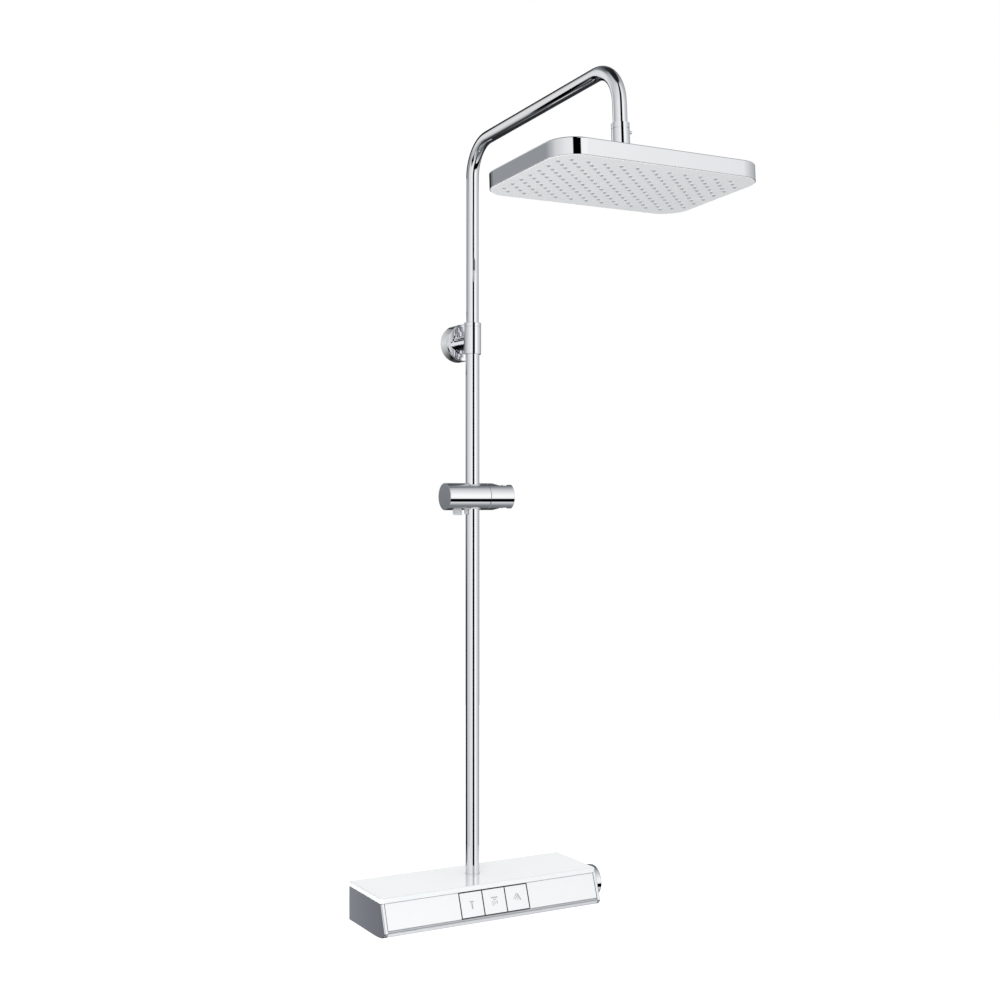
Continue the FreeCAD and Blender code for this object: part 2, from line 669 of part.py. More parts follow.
def valve_body():
    """Brass body: a horizontal bar with branches to inlets, riser, hose outlet and cartridges."""
    solid = [rod_x(VALVE_RADIUS, VALVE_LEFT_X, VALVE_RIGHT_X, VALVE_Y, VALVE_Z)]
    hollow = [
        rod_x(WATERWAY_RADIUS, VALVE_LEFT_X + VALVE_END_WALL, THERMOSTAT_X + 1, VALVE_Y, VALVE_Z),
        rod_x(THERMOSTAT_RADIUS, THERMOSTAT_X, VALVE_RIGHT_X + 1, VALVE_Y, VALVE_Z),
    ]
    boss_top = -CARTRIDGE_DEPTH - CARTRIDGE_HEAD
    boss_radius = CARTRIDGE_RADIUS + BOSS_WALL
    for k in range(-1, 2):
        x = k * BUTTON_PITCH
        floor = -CARTRIDGE_DEPTH - CARTRIDGE_LENGTH
        solid.append(on_front(rod_z(boss_radius, floor - BOSS_FLOOR, boss_top, 0, 0), x))
        hollow.append(on_front(rod_z(CARTRIDGE_RADIUS, floor, boss_top + 1, 0, 0), x))
        hollow.append(on_front(rod_z(BOSS_PORT_RADIUS, floor - BOSS_FLOOR - 2, floor + 1, 0, 0), x))
    for side in (-1, 1):
        x = side * UNION_X
        solid.append(rod_y(INLET_BRANCH_RADIUS, VALVE_Y, INLET_COLLAR_FRONT_Y, x, VALVE_Z))
        solid.append(rod_y(INLET_COLLAR_RADIUS, INLET_COLLAR_FRONT_Y, INLET_COLLAR_BACK_Y, x, VALVE_Z))
        hollow.append(rod_y(BRANCH_RADIUS, VALVE_Y, INLET_COLLAR_BACK_Y + 1, x, VALVE_Z))
    boss_top_z = RISER_BOSS_TOP_Z
    solid.append(rod_y(RISER_BRANCH_RADIUS, VALVE_Y, COLUMN_Y, 0, VALVE_Z))
    solid.append(rod_z(RISER_BOSS_RADIUS, VALVE_Z - RISER_BOSS_DROP, boss_top_z))
    hollow.append(rod_y(BRANCH_RADIUS, VALVE_Y, COLUMN_Y, 0, VALVE_Z))
    hollow.append(rod_z(RISER_WATER_RADIUS, VALVE_Z - RISER_WATER_DROP, boss_top_z + 1))
    hollow.append(rod_z(LOWER_BORE, RISER_SOCKET_Z, boss_top_z + 1))
    hose_bottom = HOSE_FLANGE_TOP_Z - 1
    spigot_hole = HOSE_SPIGOT_RADIUS + RUNNING
    solid.append(rod_z(HOSE_FLANGE_RADIUS, HOSE_FLANGE_TOP_Z, VALVE_Z, HOSE_OUTLET_X, VALVE_Y))
    hollow.append(rod_z(RISER_WATER_RADIUS, hose_bottom, VALVE_Z, HOSE_OUTLET_X, VALVE_Y))
    hollow.append(rod_z(spigot_hole, hose_bottom, HOSE_SPIGOT_TOP_Z + 0.5, HOSE_OUTLET_X, VALVE_Y))
    screw_hole = SCREW_RADIUS + RUNNING
    for x in SCREW_XS:
        boss_low = SHELF_BOTTOM_Z + CASING_WALL
        solid.append(rod_z(SCREW_BOSS_RADIUS, boss_low, VALVE_Z - SCREW_BOSS_SINK, x, VALVE_Y))
        hollow.append(rod_z(screw_hole, SHELF_BOTTOM_Z, SCREW_TOP_Z + 1, x, VALVE_Y))
    body = join(solid)
    for space in hollow:
        body = body.cut(space)
    return body


def thermostat_cartridge():
    """Thermostat insert with its retaining nut, bored for the spindle."""
    pieces = [
        rod_x(THERMOSTAT_RADIUS, THERMOSTAT_X, VALVE_RIGHT_X, VALVE_Y, VALVE_Z),
        hexagon(THERMOSTAT_NUT_HEX, THERMOSTAT_NUT_LENGTH, Vec(VALVE_RIGHT_X, VALVE_Y, VALVE_Z), X_AXIS),
        rod_x(THERMOSTAT_NECK_RADIUS, VALVE_RIGHT_X, THERMOSTAT_NECK_X, VALVE_Y, VALVE_Z),
    ]
    inside = rod_x(THERMOSTAT_BORE, THERMOSTAT_X - 1, SPINDLE_INNER_X - 20, VALVE_Y, VALVE_Z)
    bore = rod_x(SPINDLE_RADIUS + RUNNING, SPINDLE_INNER_X - CLEARANCE, THERMOSTAT_NECK_X + 1,
                 VALVE_Y, VALVE_Z)
    return join(pieces).cut(inside).cut(bore)


def thermostat_spindle():
    """Spindle that the knob turns, tapped for the knob's screw."""
    spindle = rod_x(SPINDLE_RADIUS, SPINDLE_INNER_X, SPINDLE_END_X, VALVE_Y, VALVE_Z)
    return spindle.cut(rod_x(KNOB_SCREW_RADIUS, SPINDLE_TAP_X, SPINDLE_END_X + 1, VALVE_Y, VALVE_Z))


def s_unions():
    """Eccentric inlet unions: G 1/2 into the wall, G 3/4 towards the valve."""
    unions = []
    for side in (-1, 1):
        wall_x = side * INLET_HALF_SPACING
        valve_x = side * UNION_X
        middle_x = (wall_x + valve_x) / 2
        inside_y = UNION_FLANGE_Y / 2
        union = join([
            rod_y(G12_RADIUS, inside_y, UNION_WALL_DEPTH, wall_x, 0),
            rod_y(UNION_FLANGE_RADIUS, UNION_FLANGE_Y, 0, middle_x, VALVE_Z / 2),
            rod_y(G34_RADIUS, UNION_FRONT_Y, inside_y, valve_x, VALVE_Z),
        ])
        union = union.cut(rod_y(UNION_BORE, inside_y - 1, UNION_WALL_DEPTH + 1, wall_x, 0))
        unions.append(union.cut(rod_y(UNION_BORE, UNION_FRONT_Y - 1, inside_y + 1, valve_x, VALVE_Z)))
    return Part.makeCompound(unions)


def union_nuts():
    """Hexagonal nuts that pull the valve's collars onto the S-unions."""
    nuts = []
    for side in (-1, 1):
        x = side * UNION_X
        back_y = NUT_FRONT_Y + NUT_LENGTH
        nut = hexagon(NUT_HEX, NUT_LENGTH, Vec(x, NUT_FRONT_Y, VALVE_Z), Y_AXIS)
        nut = nut.cut(rod_y(G34_RADIUS + RUNNING, NUT_SHOULDER_Y, back_y + 1, x, VALVE_Z))
        mouth = rod_y(INLET_BRANCH_RADIUS + CLEARANCE, NUT_FRONT_Y - 1, NUT_SHOULDER_Y + 1, x, VALVE_Z)
        nuts.append(nut.cut(mouth))
    return Part.makeCompound(nuts)


def filter_washers():
    """A sealing washer in each union."""
    rings = []
    for side in (-1, 1):
        x = side * UNION_X
        back_y = UNION_FRONT_Y - RUNNING
        front_y0 = back_y - WASHER_THICKNESS
        hole = rod_y(WASHER_BORE, front_y0 - 1, back_y + 1, x, VALVE_Z)
        rings.append(rod_y(WASHER_RADIUS, front_y0, back_y, x, VALVE_Z).cut(hole))
    return Part.makeCompound(rings)


def check_valves():
    """A non-return insert in each inlet."""
    inserts = []
    for side in (-1, 1):
        x = side * UNION_X
        insert = rod_y(CHECK_VALVE_RADIUS, CHECK_VALVE_FRONT_Y, CHECK_VALVE_BACK_Y, x, VALVE_Z)
        hole = rod_y(CHECK_VALVE_BORE, CHECK_VALVE_FRONT_Y - 1, CHECK_VALVE_BACK_Y + 1, x, VALVE_Z)
        inserts.append(insert.cut(hole))
    return Part.makeCompound(inserts)


def casing_screws():
    """Pan-head screws through the undertray into the valve body."""
    screws = []
    for x in SCREW_XS:
        head_bottom = SHELF_BOTTOM_Z - SCREW_HEAD_HEIGHT
        head = rod_z(SCREW_HEAD_RADIUS, head_bottom, SHELF_BOTTOM_Z, x, VALVE_Y)
        screws.append(join([head, rod_z(SCREW_RADIUS, SHELF_BOTTOM_Z, SCREW_TOP_Z, x, VALVE_Y)]))
    return Part.makeCompound(screws)


def hose_outlet():
    """Threaded G 1/2 nipple under the shelf for the hand shower's hose."""
    flange_z = SHELF_BOTTOM_Z - HOSE_FLANGE_PROUD
    end_z = flange_z - HOSE_THREAD_LENGTH
    pieces = [
        rod_z(HOSE_SPIGOT_RADIUS, HOSE_FLANGE_TOP_Z, HOSE_SPIGOT_TOP_Z, HOSE_OUTLET_X, VALVE_Y),
        rod_z(HOSE_FLANGE_RADIUS, flange_z, HOSE_FLANGE_TOP_Z, HOSE_OUTLET_X, VALVE_Y),
        rod_z(G12_RADIUS, end_z, flange_z, HOSE_OUTLET_X, VALVE_Y),
    ]
    return join(pieces).cut(rod_z(HOSE_BORE, end_z - 1, 0, HOSE_OUTLET_X, VALVE_Y))


# ------------------------------------------------------------------ temperature knob

def override_window(grow):
    """The safety button's shaft, grown on every side by grow."""
    half_l = OVERRIDE_LENGTH / 2 + grow
    half_w = OVERRIDE_WIDTH / 2 + grow
    return block(OVERRIDE_X - half_l, OVERRIDE_X + half_l, VALVE_Y - half_w, VALVE_Y + half_w,
                 OVERRIDE_FOOT_TOP, VALVE_Z + KNOB_RADIUS + OVERRIDE_PROUD)


def temperature_knob():
    """Round knob, hollow behind its rim, with a hub that sits on the spindle."""
    knob = rod_x(KNOB_RADIUS, KNOB_BACK_X, KNOB_FRONT_X, VALVE_Y, VALVE_Z)
    rims = [e for e in knob.Edges if e.BoundBox.XLength < 0.01]
    front = [e for e in rims if e.BoundBox.XMin > KNOB_FRONT_X - 1]
    knob = knob.makeFillet(KNOB_EDGE, front)
    cavity = rod_x(KNOB_RADIUS - KNOB_WALL, KNOB_BACK_X - 1, KNOB_CAVITY_X, VALVE_Y, VALVE_Z)
    cavity = cavity.cut(rod_x(HUB_RADIUS, KNOB_BACK_X - 2, KNOB_CAVITY_X, VALVE_Y, VALVE_Z))
    knob = knob.cut(cavity)
    bore = rod_x(SPINDLE_RADIUS + RUNNING, KNOB_BACK_X - 1, SPINDLE_END_X + 1, VALVE_Y, VALVE_Z)
    knob = knob.cut(bore)
    front_holes = [
        (KNOB_SCREW_RADIUS + RUNNING, SPINDLE_END_X),
        (KNOB_SCREW_HEAD_RADIUS + CLEARANCE, KNOB_SCREW_HEAD_X),
        (COVER_RADIUS + RUNNING, KNOB_FRONT_X - COVER_DEPTH),
    ]
    for radius, x in front_holes:
        knob = knob.cut(rod_x(radius, x, KNOB_FRONT_X + 1, VALVE_Y, VALVE_Z))
    return knob.cut(override_window(CLEARANCE))


def knob_cover():
    """Disc that closes the knob's front over its screw."""
    disc = rod_x(COVER_RADIUS, KNOB_FRONT_X - COVER_DEPTH, KNOB_FRONT_X + COVER_PROUD, VALVE_Y, VALVE_Z)
    front = [e for e in disc.Edges if e.BoundBox.XMin > KNOB_FRONT_X]
    return disc.makeFillet(COVER_EDGE, front)


def knob_screw():
    """Screw that holds the knob on the spindle."""
    head_x = KNOB_SCREW_HEAD_X
    shank = rod_x(KNOB_SCREW_RADIUS, KNOB_SCREW_INNER_X, head_x, VALVE_Y, VALVE_Z)
    head = rod_x(KNOB_SCREW_HEAD_RADIUS, head_x, head_x + KNOB_SCREW_HEAD_HEIGHT, VALVE_Y, VALVE_Z)
    return join([shank, head])


def override_button():
    """Safety button in the knob's rim, pressed to pass the middle temperature."""
    shaft = override_window(0)
    top = VALVE_Z + KNOB_RADIUS + OVERRIDE_PROUD
    shaft = shaft.makeFillet(OVERRIDE_EDGE, edges_at_z(shaft, top))
    foot = block(OVERRIDE_X - OVERRIDE_FOOT_HALF, OVERRIDE_X + OVERRIDE_FOOT_HALF,
                 VALVE_Y - OVERRIDE_FOOT_DEPTH, VALVE_Y + OVERRIDE_FOOT_DEPTH,
                 OVERRIDE_FOOT_TOP - 1, OVERRIDE_FOOT_TOP)
    return join([shaft, foot])


def override_spring():
    """Spring between the safety button and the knob's hub."""
    wire = OVERRIDE_SPRING_WIRE
    hub_top = VALVE_Z + HUB_RADIUS
    length = OVERRIDE_FOOT_TOP - 1 - hub_top - wire - 2 * CLEARANCE
    spring = coil(OVERRIDE_SPRING_RADIUS, wire, length, OVERRIDE_SPRING_TURNS)
    spring.translate(Vec(OVERRIDE_X, VALVE_Y, hub_top + wire / 2 + CLEARANCE))
    return Part.makeCompound([spring])


# ------------------------------------------------------------------ riser and arm

def riser_nipple():
    """Nipple that joins the valve body to the riser, with two O-ring grooves."""
    barrel = rod_z(LOWER_BORE - RUNNING, NIPPLE_BOTTOM_Z, NIPPLE_TOP_Z)
    collar = hexagon(NIPPLE_HEX, NIPPLE_HEX_HEIGHT, Vec(0, COLUMN_Y, NIPPLE_HEX_Z), Z_AXIS)
    nipple = join([barrel, collar]).cut(rod_z(NIPPLE_BORE, 0, NIPPLE_TOP_Z + 1))
    for z in NIPPLE_GROOVE_ZS:
        groove = sleeve_z(GROOVE_OUTSIDE, NIPPLE_GROOVE_RADIUS, z - GROOVE_HALF, z + GROOVE_HALF)
        nipple = nipple.cut(groove)
    return nipple


def riser_o_rings():
    return Part.makeCompound([ring_in_groove(NIPPLE_GROOVE_RADIUS, z) for z in NIPPLE_GROOVE_ZS])


def lower_riser_tube():
    return sleeve_z(LOWER_RADIUS, LOWER_BORE, RISER_BOTTOM_Z, RISER_TOP_Z)


def guide_bush():
    """Plastic bush in the mouth of the lower tube, which the upper tube slides through."""
    flange = sleeve_z(LOWER_RADIUS, UPPER_RADIUS + RUNNING, RISER_TOP_Z, COLLAR_TOP_Z - 0.1)
    lining = sleeve_z(LOWER_BORE, UPPER_RADIUS + RUNNING, RISER_TOP_Z - BUSH_DEPTH, RISER_TOP_Z)
    return join([flange, lining])


def telescope_piston():
    """Guide on the upper tube's lower end, running in the lower tube."""
    top = UPPER_BOTTOM_Z + PISTON_SPIGOT
    piston = rod_z(LOWER_BORE - RUNNING, PISTON_BOTTOM_Z, UPPER_BOTTOM_Z - CLEARANCE)
    spigot = rod_z(UPPER_BORE - RUNNING, UPPER_BOTTOM_Z - 1, top)
    piston = join([piston, spigot]).cut(rod_z(PISTON_BORE, PISTON_BOTTOM_Z - 1, top + 1))
    for rise in PISTON_GROOVE_RISES:
        z = PISTON_BOTTOM_Z + rise
        groove = sleeve_z(GROOVE_OUTSIDE, PISTON_GROOVE_RADIUS, z - PISTON_GROOVE_HALF, z + PISTON_GROOVE_HALF)
        piston = piston.cut(groove)
    return piston


def telescope_o_rings():
    return Part.makeCompound([ring_in_groove(PISTON_GROOVE_RADIUS, PISTON_BOTTOM_Z + rise)
                              for rise in PISTON_GROOVE_RISES])


def upper_riser_arm():
    """Upper tube, bent forwards into the arm and down into the drop."""
    start = Vec(0, COLUMN_Y, UPPER_BOTTOM_Z)
    path = [start, ARM_CORNER, OUTER_CORNER, along_drop(DROP_END)]
    outside = bent_rod(path, UPPER_RADIUS, BEND_RADIUS)
    inside = bent_rod(path, UPPER_BORE, BEND_RADIUS)
    return outside.cut(inside)


# ------------------------------------------------------------------ wall bracket

def bracket_wall_plate():
    """Plate screwed to the wall, with the boss that the flange fits over."""
    disc = rod_y(WALL_PLATE_RADIUS, -WALL_PLATE_THICKNESS, 0, 0, BRACKET_Z)
    plate = join([disc, rod_y(WALL_BOSS_RADIUS, WALL_BOSS_Y, -1, 0, BRACKET_Z)])
    for side in (-1, 1):
        z = BRACKET_Z + side * BRACKET_SCREW_SPACING / 2
        plate = plate.cut(rod_y(BRACKET_HOLE_RADIUS, -WALL_PLATE_THICKNESS - 1, 1, 0, z))
    return plate


def bracket_flange():
    """Round cup over the wall plate, with a stepped front round the stub."""
    cup = rod_y(FLANGE_RADIUS, -FLANGE_DEPTH, -FLANGE_WALL_GAP, 0, BRACKET_Z)
    front = [e for e in cup.Edges if e.BoundBox.YMax < -FLANGE_DEPTH + 1]
    cup = cup.makeFillet(FLANGE_EDGE, front)
    step_y = -FLANGE_DEPTH - FLANGE_STEP_HEIGHT
    cup = join([cup, rod_y(FLANGE_STEP_RADIUS, step_y, -FLANGE_DEPTH + 1, 0, BRACKET_Z)])
    inside = FLANGE_RADIUS - FLANGE_WALL
    cup = cup.cut(rod_y(inside, -FLANGE_DEPTH + FLANGE_FRONT_WALL, 1, 0, BRACKET_Z))
    cup = cup.cut(rod_y(STUB_RADIUS + RUNNING, step_y - 1, 1, 0, BRACKET_Z))
    grub_hole = rod_z(GRUB_HOLE_RADIUS, BRACKET_Z - FLANGE_RADIUS - 1, BRACKET_Z - inside + 1, 0, GRUB_SCREW_Y)
    return cup.cut(grub_hole)


def bracket_collar():
    """Collar round the riser, with the stub that goes through the flange."""
    collar = rod_z(COLLAR_RADIUS, COLLAR_BOTTOM_Z, COLLAR_TOP_Z)
    collar = collar.makeFillet(COLLAR_EDGE, edges_at_z(collar, COLLAR_BOTTOM_Z))
    stub = rod_y(STUB_RADIUS, COLUMN_Y, STUB_END_Y, 0, BRACKET_Z)
    collar = join([collar, stub])
    collar = collar.cut(rod_z(LOWER_RADIUS + RUNNING, COLLAR_BOTTOM_Z - 1, COLLAR_TOP_Z + 1))
    collar = collar.cut(rod_y(STUB_BORE, STUB_BORE_Y, 0, 0, BRACKET_Z))
    return collar.cut(rod_z(GRUB_HOLE_RADIUS, BRACKET_Z - STUB_RADIUS - 1, BRACKET_Z - STUB_BORE + 1,
                            0, GRUB_SCREW_Y))


def flange_grub_screw():
    """Set screw under the flange, which locks stub and flange to the wall plate."""
    return rod_z(GRUB_SCREW_RADIUS, BRACKET_Z - GRUB_SCREW_LOW, BRACKET_Z - GRUB_SCREW_HIGH, 0, GRUB_SCREW_Y)


def telescope_lock_ring():
    """Ring over the collar that clamps the upper tube at its height."""
    top = LOCK_RING_BOTTOM_Z + LOCK_RING_HEIGHT
    ring = sleeve_z(COLLAR_RADIUS, UPPER_RADIUS + CLEARANCE, LOCK_RING_BOTTOM_Z, top)
    outer = [e for e in edges_at_z(ring, top) if e.BoundBox.XLength > 2 * COLLAR_RADIUS - 1]
    return ring.makeFillet(LOCK_RING_EDGE, outer)


# ------------------------------------------------------------------ hand-shower slider

def slider_liner():
    """Plastic sleeve that grips the riser, with a tongue below its left side."""
    z0 = SLIDER_Z - LINER_HALF_HEIGHT
    liner = sleeve_z(LINER_RADIUS, LOWER_RADIUS + RUNNING, z0, SLIDER_Z + LINER_HALF_HEIGHT)
    tongue = sleeve_z(LINER_RADIUS, LOWER_RADIUS + RUNNING, SLIDER_Z - LINER_TONGUE_DROP, z0 + 1)
    tongue = tongue.common(block(-LINER_RADIUS, 0, COLUMN_Y - LINER_TONGUE_HALF,
                                 COLUMN_Y + LINER_TONGUE_HALF, SLIDER_Z - LINER_TONGUE_DROP, z0 + 1))
    return join([liner, tongue])


def release_block(grow, ears, z0, z1):
    """The release tab's outline between two heights, grown all round and widened by its ears."""
    half_w = RELEASE_WIDTH / 2 + ears + grow
    half_d = RELEASE_DEPTH / 2 + grow
    return block(RELEASE_X - half_w, RELEASE_X + half_w, COLUMN_Y - half_d, COLUMN_Y + half_d, z0, z1)


def slider_body():
    """Cross cylinder with the riser bore, the release slot and the spring pocket."""
    body = rod_x(SLIDER_RADIUS, SLIDER_LEFT_X, SLIDER_SEAM_X, COLUMN_Y, SLIDER_Z)
    ends = [e for e in body.Edges if e.BoundBox.XLength < 0.01]
    body = body.makeFillet(SLIDER_EDGE, ends)
    reach = SLIDER_RADIUS + 1
    body = body.cut(rod_z(LINER_RADIUS + RUNNING, SLIDER_Z - reach, SLIDER_Z + reach))
    slot_top = SLIDER_Z - RELEASE_HIGH + RELEASE_TRAVEL_ROOM
    ear_bottom = SLIDER_Z - RELEASE_HIGH - EAR_HEIGHT - CLEARANCE
    body = body.cut(release_block(CLEARANCE, 0, SLIDER_Z - reach, slot_top))
    body = body.cut(release_block(CLEARANCE, EAR_WIDTH, ear_bottom, slot_top))
    body = body.cut(rod_z(RELEASE_SPRING_POCKET, SLIDER_Z - RELEASE_HIGH, SLIDER_Z + RELEASE_HIGH,
                          RELEASE_X, COLUMN_Y))
    return body.cut(rod_x(AXLE_RADIUS, AXLE_INNER_X - CLEARANCE, SLIDER_SEAM_X + 1, COLUMN_Y, SLIDER_Z))


def release_tab():
    """Push tab under the slider that frees it on the riser."""
    bottom = SLIDER_Z - RELEASE_LOW
    top = SLIDER_Z - RELEASE_HIGH
    shaft = release_block(0, 0, bottom, top)
    shaft = shaft.makeFillet(RELEASE_EDGE, edges_at_z(shaft, bottom))
    return join([shaft, release_block(0, EAR_WIDTH, top - EAR_HEIGHT, top)])


def release_spring():
    """Spring that pushes the release tab down."""
    wire = RELEASE_SPRING_WIRE
    length = 2 * RELEASE_HIGH - wire - 2 * CLEARANCE
    spring = coil(RELEASE_SPRING_RADIUS, wire, length, RELEASE_SPRING_TURNS)
    spring.translate(Vec(RELEASE_X, COLUMN_Y, SLIDER_Z - RELEASE_HIGH + wire / 2 + CLEARANCE))
    return Part.makeCompound([spring])


def hand_shower_holder():
    """Turning end of the slider with a slotted conical socket for the hand shower."""
    x0 = SLIDER_SEAM_X + PART_GAP
    holder = rod_x(SLIDER_RADIUS, x0, HOLDER_END_X, COLUMN_Y, SLIDER_Z)
    ends = [e for e in holder.Edges if e.BoundBox.XLength < 0.01]
    holder = holder.makeFillet(SLIDER_EDGE, ends)
    outside = SLIDER_RADIUS + 2
    beyond_x = HOLDER_END_X + 1
    lip_z = HOLDER_FLAT_Z + HOLDER_LIP_RISE
    saddle = [(HOLDER_SLOPE_X, outside), (HOLDER_SLOPE_X, SLIDER_RADIUS), (HOLDER_FLAT_X, HOLDER_FLAT_Z),
              (HOLDER_LIP_X, HOLDER_FLAT_Z), (HOLDER_LIP_X + HOLDER_LIP_RUN, lip_z), (beyond_x, lip_z),
              (beyond_x, outside)]
    for side in (-1, 1):
        holder = holder.cut(prism_xz([(x, side * z) for x, z in saddle]))
    height = 2 * SLIDER_RADIUS
    socket = Part.makeCone(SOCKET_BOTTOM_RADIUS, SOCKET_TOP_RADIUS, height,
                           Vec(SOCKET_X, COLUMN_Y, SLIDER_Z - SLIDER_RADIUS), Z_AXIS)
    holder = holder.cut(socket)
    holder = holder.cut(block(SOCKET_X, beyond_x, COLUMN_Y - HOLDER_SLOT_HALF, COLUMN_Y + HOLDER_SLOT_HALF,
                              SLIDER_Z - outside, SLIDER_Z + outside))
    recess = SLIDER_SEAM_X + FRICTION_WASHER_THICKNESS + CLEARANCE
    holder = holder.cut(rod_x(WASHER_OUTER_RADIUS + CLEARANCE, x0 - 1, recess, COLUMN_Y, SLIDER_Z))
    holder = holder.cut(rod_x(AXLE_RADIUS + RUNNING, x0, SOCKET_X, COLUMN_Y, SLIDER_Z))
    return holder.cut(rod_x(AXLE_HEAD_RADIUS + CLEARANCE, AXLE_RECESS_X, SOCKET_X, COLUMN_Y, SLIDER_Z))


def prism_xz(points):
    """A prism along Y through the slider over (x, height above its axis) points."""
    half = SLIDER_RADIUS + 1
    corners = [Vec(x, COLUMN_Y - half, SLIDER_Z + z) for x, z in points]
    outline = Part.makePolygon(corners + corners[:1])
    return Part.Face(outline).extrude(Vec(0, 2 * half, 0))


def holder_axle():
    """Shoulder screw that the holder turns on."""
    shank = rod_x(AXLE_RADIUS, AXLE_INNER_X, AXLE_OUTER_X, COLUMN_Y, SLIDER_Z)
    head = rod_x(AXLE_HEAD_RADIUS, AXLE_OUTER_X, AXLE_OUTER_X + AXLE_HEAD_HEIGHT, COLUMN_Y, SLIDER_Z)
    return join([shank, head])


def friction_washer():
    """Washer that gives the holder its grip."""
    outer_x = SLIDER_SEAM_X + FRICTION_WASHER_THICKNESS
    disc = rod_x(WASHER_OUTER_RADIUS, SLIDER_SEAM_X, outer_x, COLUMN_Y, SLIDER_Z)
    return disc.cut(rod_x(WASHER_HOLE_RADIUS, SLIDER_SEAM_X - 1, outer_x + 1, COLUMN_Y, SLIDER_Z))


# ------------------------------------------------------------------ drop and ball joint

def drop_sleeve():
    """Sleeve on the end of the drop tube, with a groove at its seam."""
    length = SLEEVE_BOTTOM - SLEEVE_TOP
    sleeve = rod_z(SLEEVE_RADIUS, -length, 0, 0, 0)
    sleeve = sleeve.cut(rod_z(UPPER_RADIUS + RUNNING, SLEEVE_TOP - DROP_END - CLEARANCE, 1, 0, 0))
    sleeve = sleeve.cut(rod_z(SLEEVE_BORE, -length - 1, 0, 0, 0))
    groove = sleeve_z(SLEEVE_RADIUS + 1, SLEEVE_RADIUS - SEAM_DEPTH, SEAM_PLACE - SEAM_HALF,
                      SEAM_PLACE + SEAM_HALF, 0, 0)
    sleeve = sleeve.cut(groove)
    pin_z = SEAM_PLACE - PIN_DROP
    sleeve = sleeve.cut(rod_x(PIN_RADIUS + RUNNING, SLEEVE_BORE - 1, SLEEVE_RADIUS + 1, 0, pin_z))
    return on_drop(sleeve, SLEEVE_TOP)


def sleeve_pin():
    """Small locking pin in the sleeve's right side."""
    pin_z = SEAM_PLACE - PIN_DROP
    pin = rod_x(PIN_RADIUS, UPPER_RADIUS + RUNNING, PIN_END_X, 0, pin_z)
    knob = rod_x(PIN_KNOB_RADIUS, PIN_END_X - 1, PIN_END_X - 1 + PIN_KNOB_LENGTH, 0, pin_z)
    return on_drop(join([pin, knob]), SLEEVE_TOP)


def ball_stem():
    """Threaded stem with the ball that the rain head hangs on."""
    ball = Part.makeSphere(BALL_RADIUS)
    neck = rod_z(NECK_RADIUS, 0, BALL_DROP - SLEEVE_BOTTOM + 1, 0, 0)
    thread_top = BALL_DROP - DROP_END - 1
    thread = rod_z(STEM_THREAD_RADIUS, BALL_DROP - SLEEVE_BOTTOM, thread_top, 0, 0)
    stem = join([ball, neck, thread]).cut(rod_z(STEM_BORE, -BALL_RADIUS - 1, thread_top + 1, 0, 0))
    return on_drop(stem, BALL_DROP)


def ball_zone(low, high):
    """A ring cut from the spherical shell between ball and socket."""
    shell = Part.makeSphere(SEAT_OUTER).cut(Part.makeSphere(SEAT_INNER))
    return shell.common(block(-SEAT_OUTER, SEAT_OUTER, -SEAT_OUTER, SEAT_OUTER, low, high))


def ball_seat():
    """Lower seat of the ball joint."""
    return on_drop(ball_zone(*SEAT_SPAN), BALL_DROP)


def ball_ring():
    """Upper ring of the ball joint."""
    return on_drop(ball_zone(*RING_SPAN), BALL_DROP)


def socket_nut():
    """Round nut with the spherical cavity, screwed into the head's back."""
    floor = BALL_DROP - HEAD_TOP_DROP
    nut = rod_z(SOCKET_NUT_RADIUS, floor, SOCKET_NUT_RISE, 0, 0)
    top = edges_at_z(nut, SOCKET_NUT_RISE)
    nut = nut.makeFillet(SOCKET_NUT_EDGE, top)
    spigot_end = floor - SOCKET_SPIGOT_LENGTH
    nut = join([nut, rod_z(SOCKET_SPIGOT_RADIUS, spigot_end, floor + 1, 0, 0)])
    nut = nut.cut(Part.makeSphere(SOCKET_CAVITY))
    mouth = math.sqrt(SOCKET_CAVITY ** 2 - SOCKET_NUT_RISE ** 2)
    nut = nut.cut(rod_z(mouth, SOCKET_NUT_RISE - 0.5, SOCKET_NUT_RISE + 1, 0, 0))
    return on_drop(nut.cut(rod_z(SOCKET_WATER_RADIUS, spigot_end - 1, 0, 0, 0)), BALL_DROP)


# ------------------------------------------------------------------ rain head

def on_head(shape):
    """Places a part of the rain head, drawn with the head's middle at the origin and its top at 0."""
    return on_drop(shape, HEAD_TOP_DROP, HEAD_FORWARDS)


def head_screw_places():
    """Six places along the chamber's long edges."""
    return [(x, y) for x in HEAD_SCREW_XS for y in HEAD_SCREW_YS]


def nozzle_places():
    """A staggered lattice of nozzles inside the spray face's rounded outline."""
    places = []
    for row in range(NOZZLE_ROWS):
        y = (row - (NOZZLE_ROWS - 1) / 2) * NOZZLE_ROW_PITCH
        shift = NOZZLE_PITCH_X / 4 if row % 2 else -NOZZLE_PITCH_X / 4
        for column in range(-NOZZLE_COLUMN_REACH, NOZZLE_COLUMN_REACH + 1):
            x = column * NOZZLE_PITCH_X + shift
            over_x = abs(x) - (HEAD_WIDTH / 2 - HEAD_CORNER)
            over_y = abs(y) - (HEAD_DEPTH / 2 - HEAD_CORNER)
            reach = math.hypot(max(over_x, 0), max(over_y, 0))
            if reach < HEAD_CORNER - NOZZLE_BORDER:
                places.append((x, y))
    return places


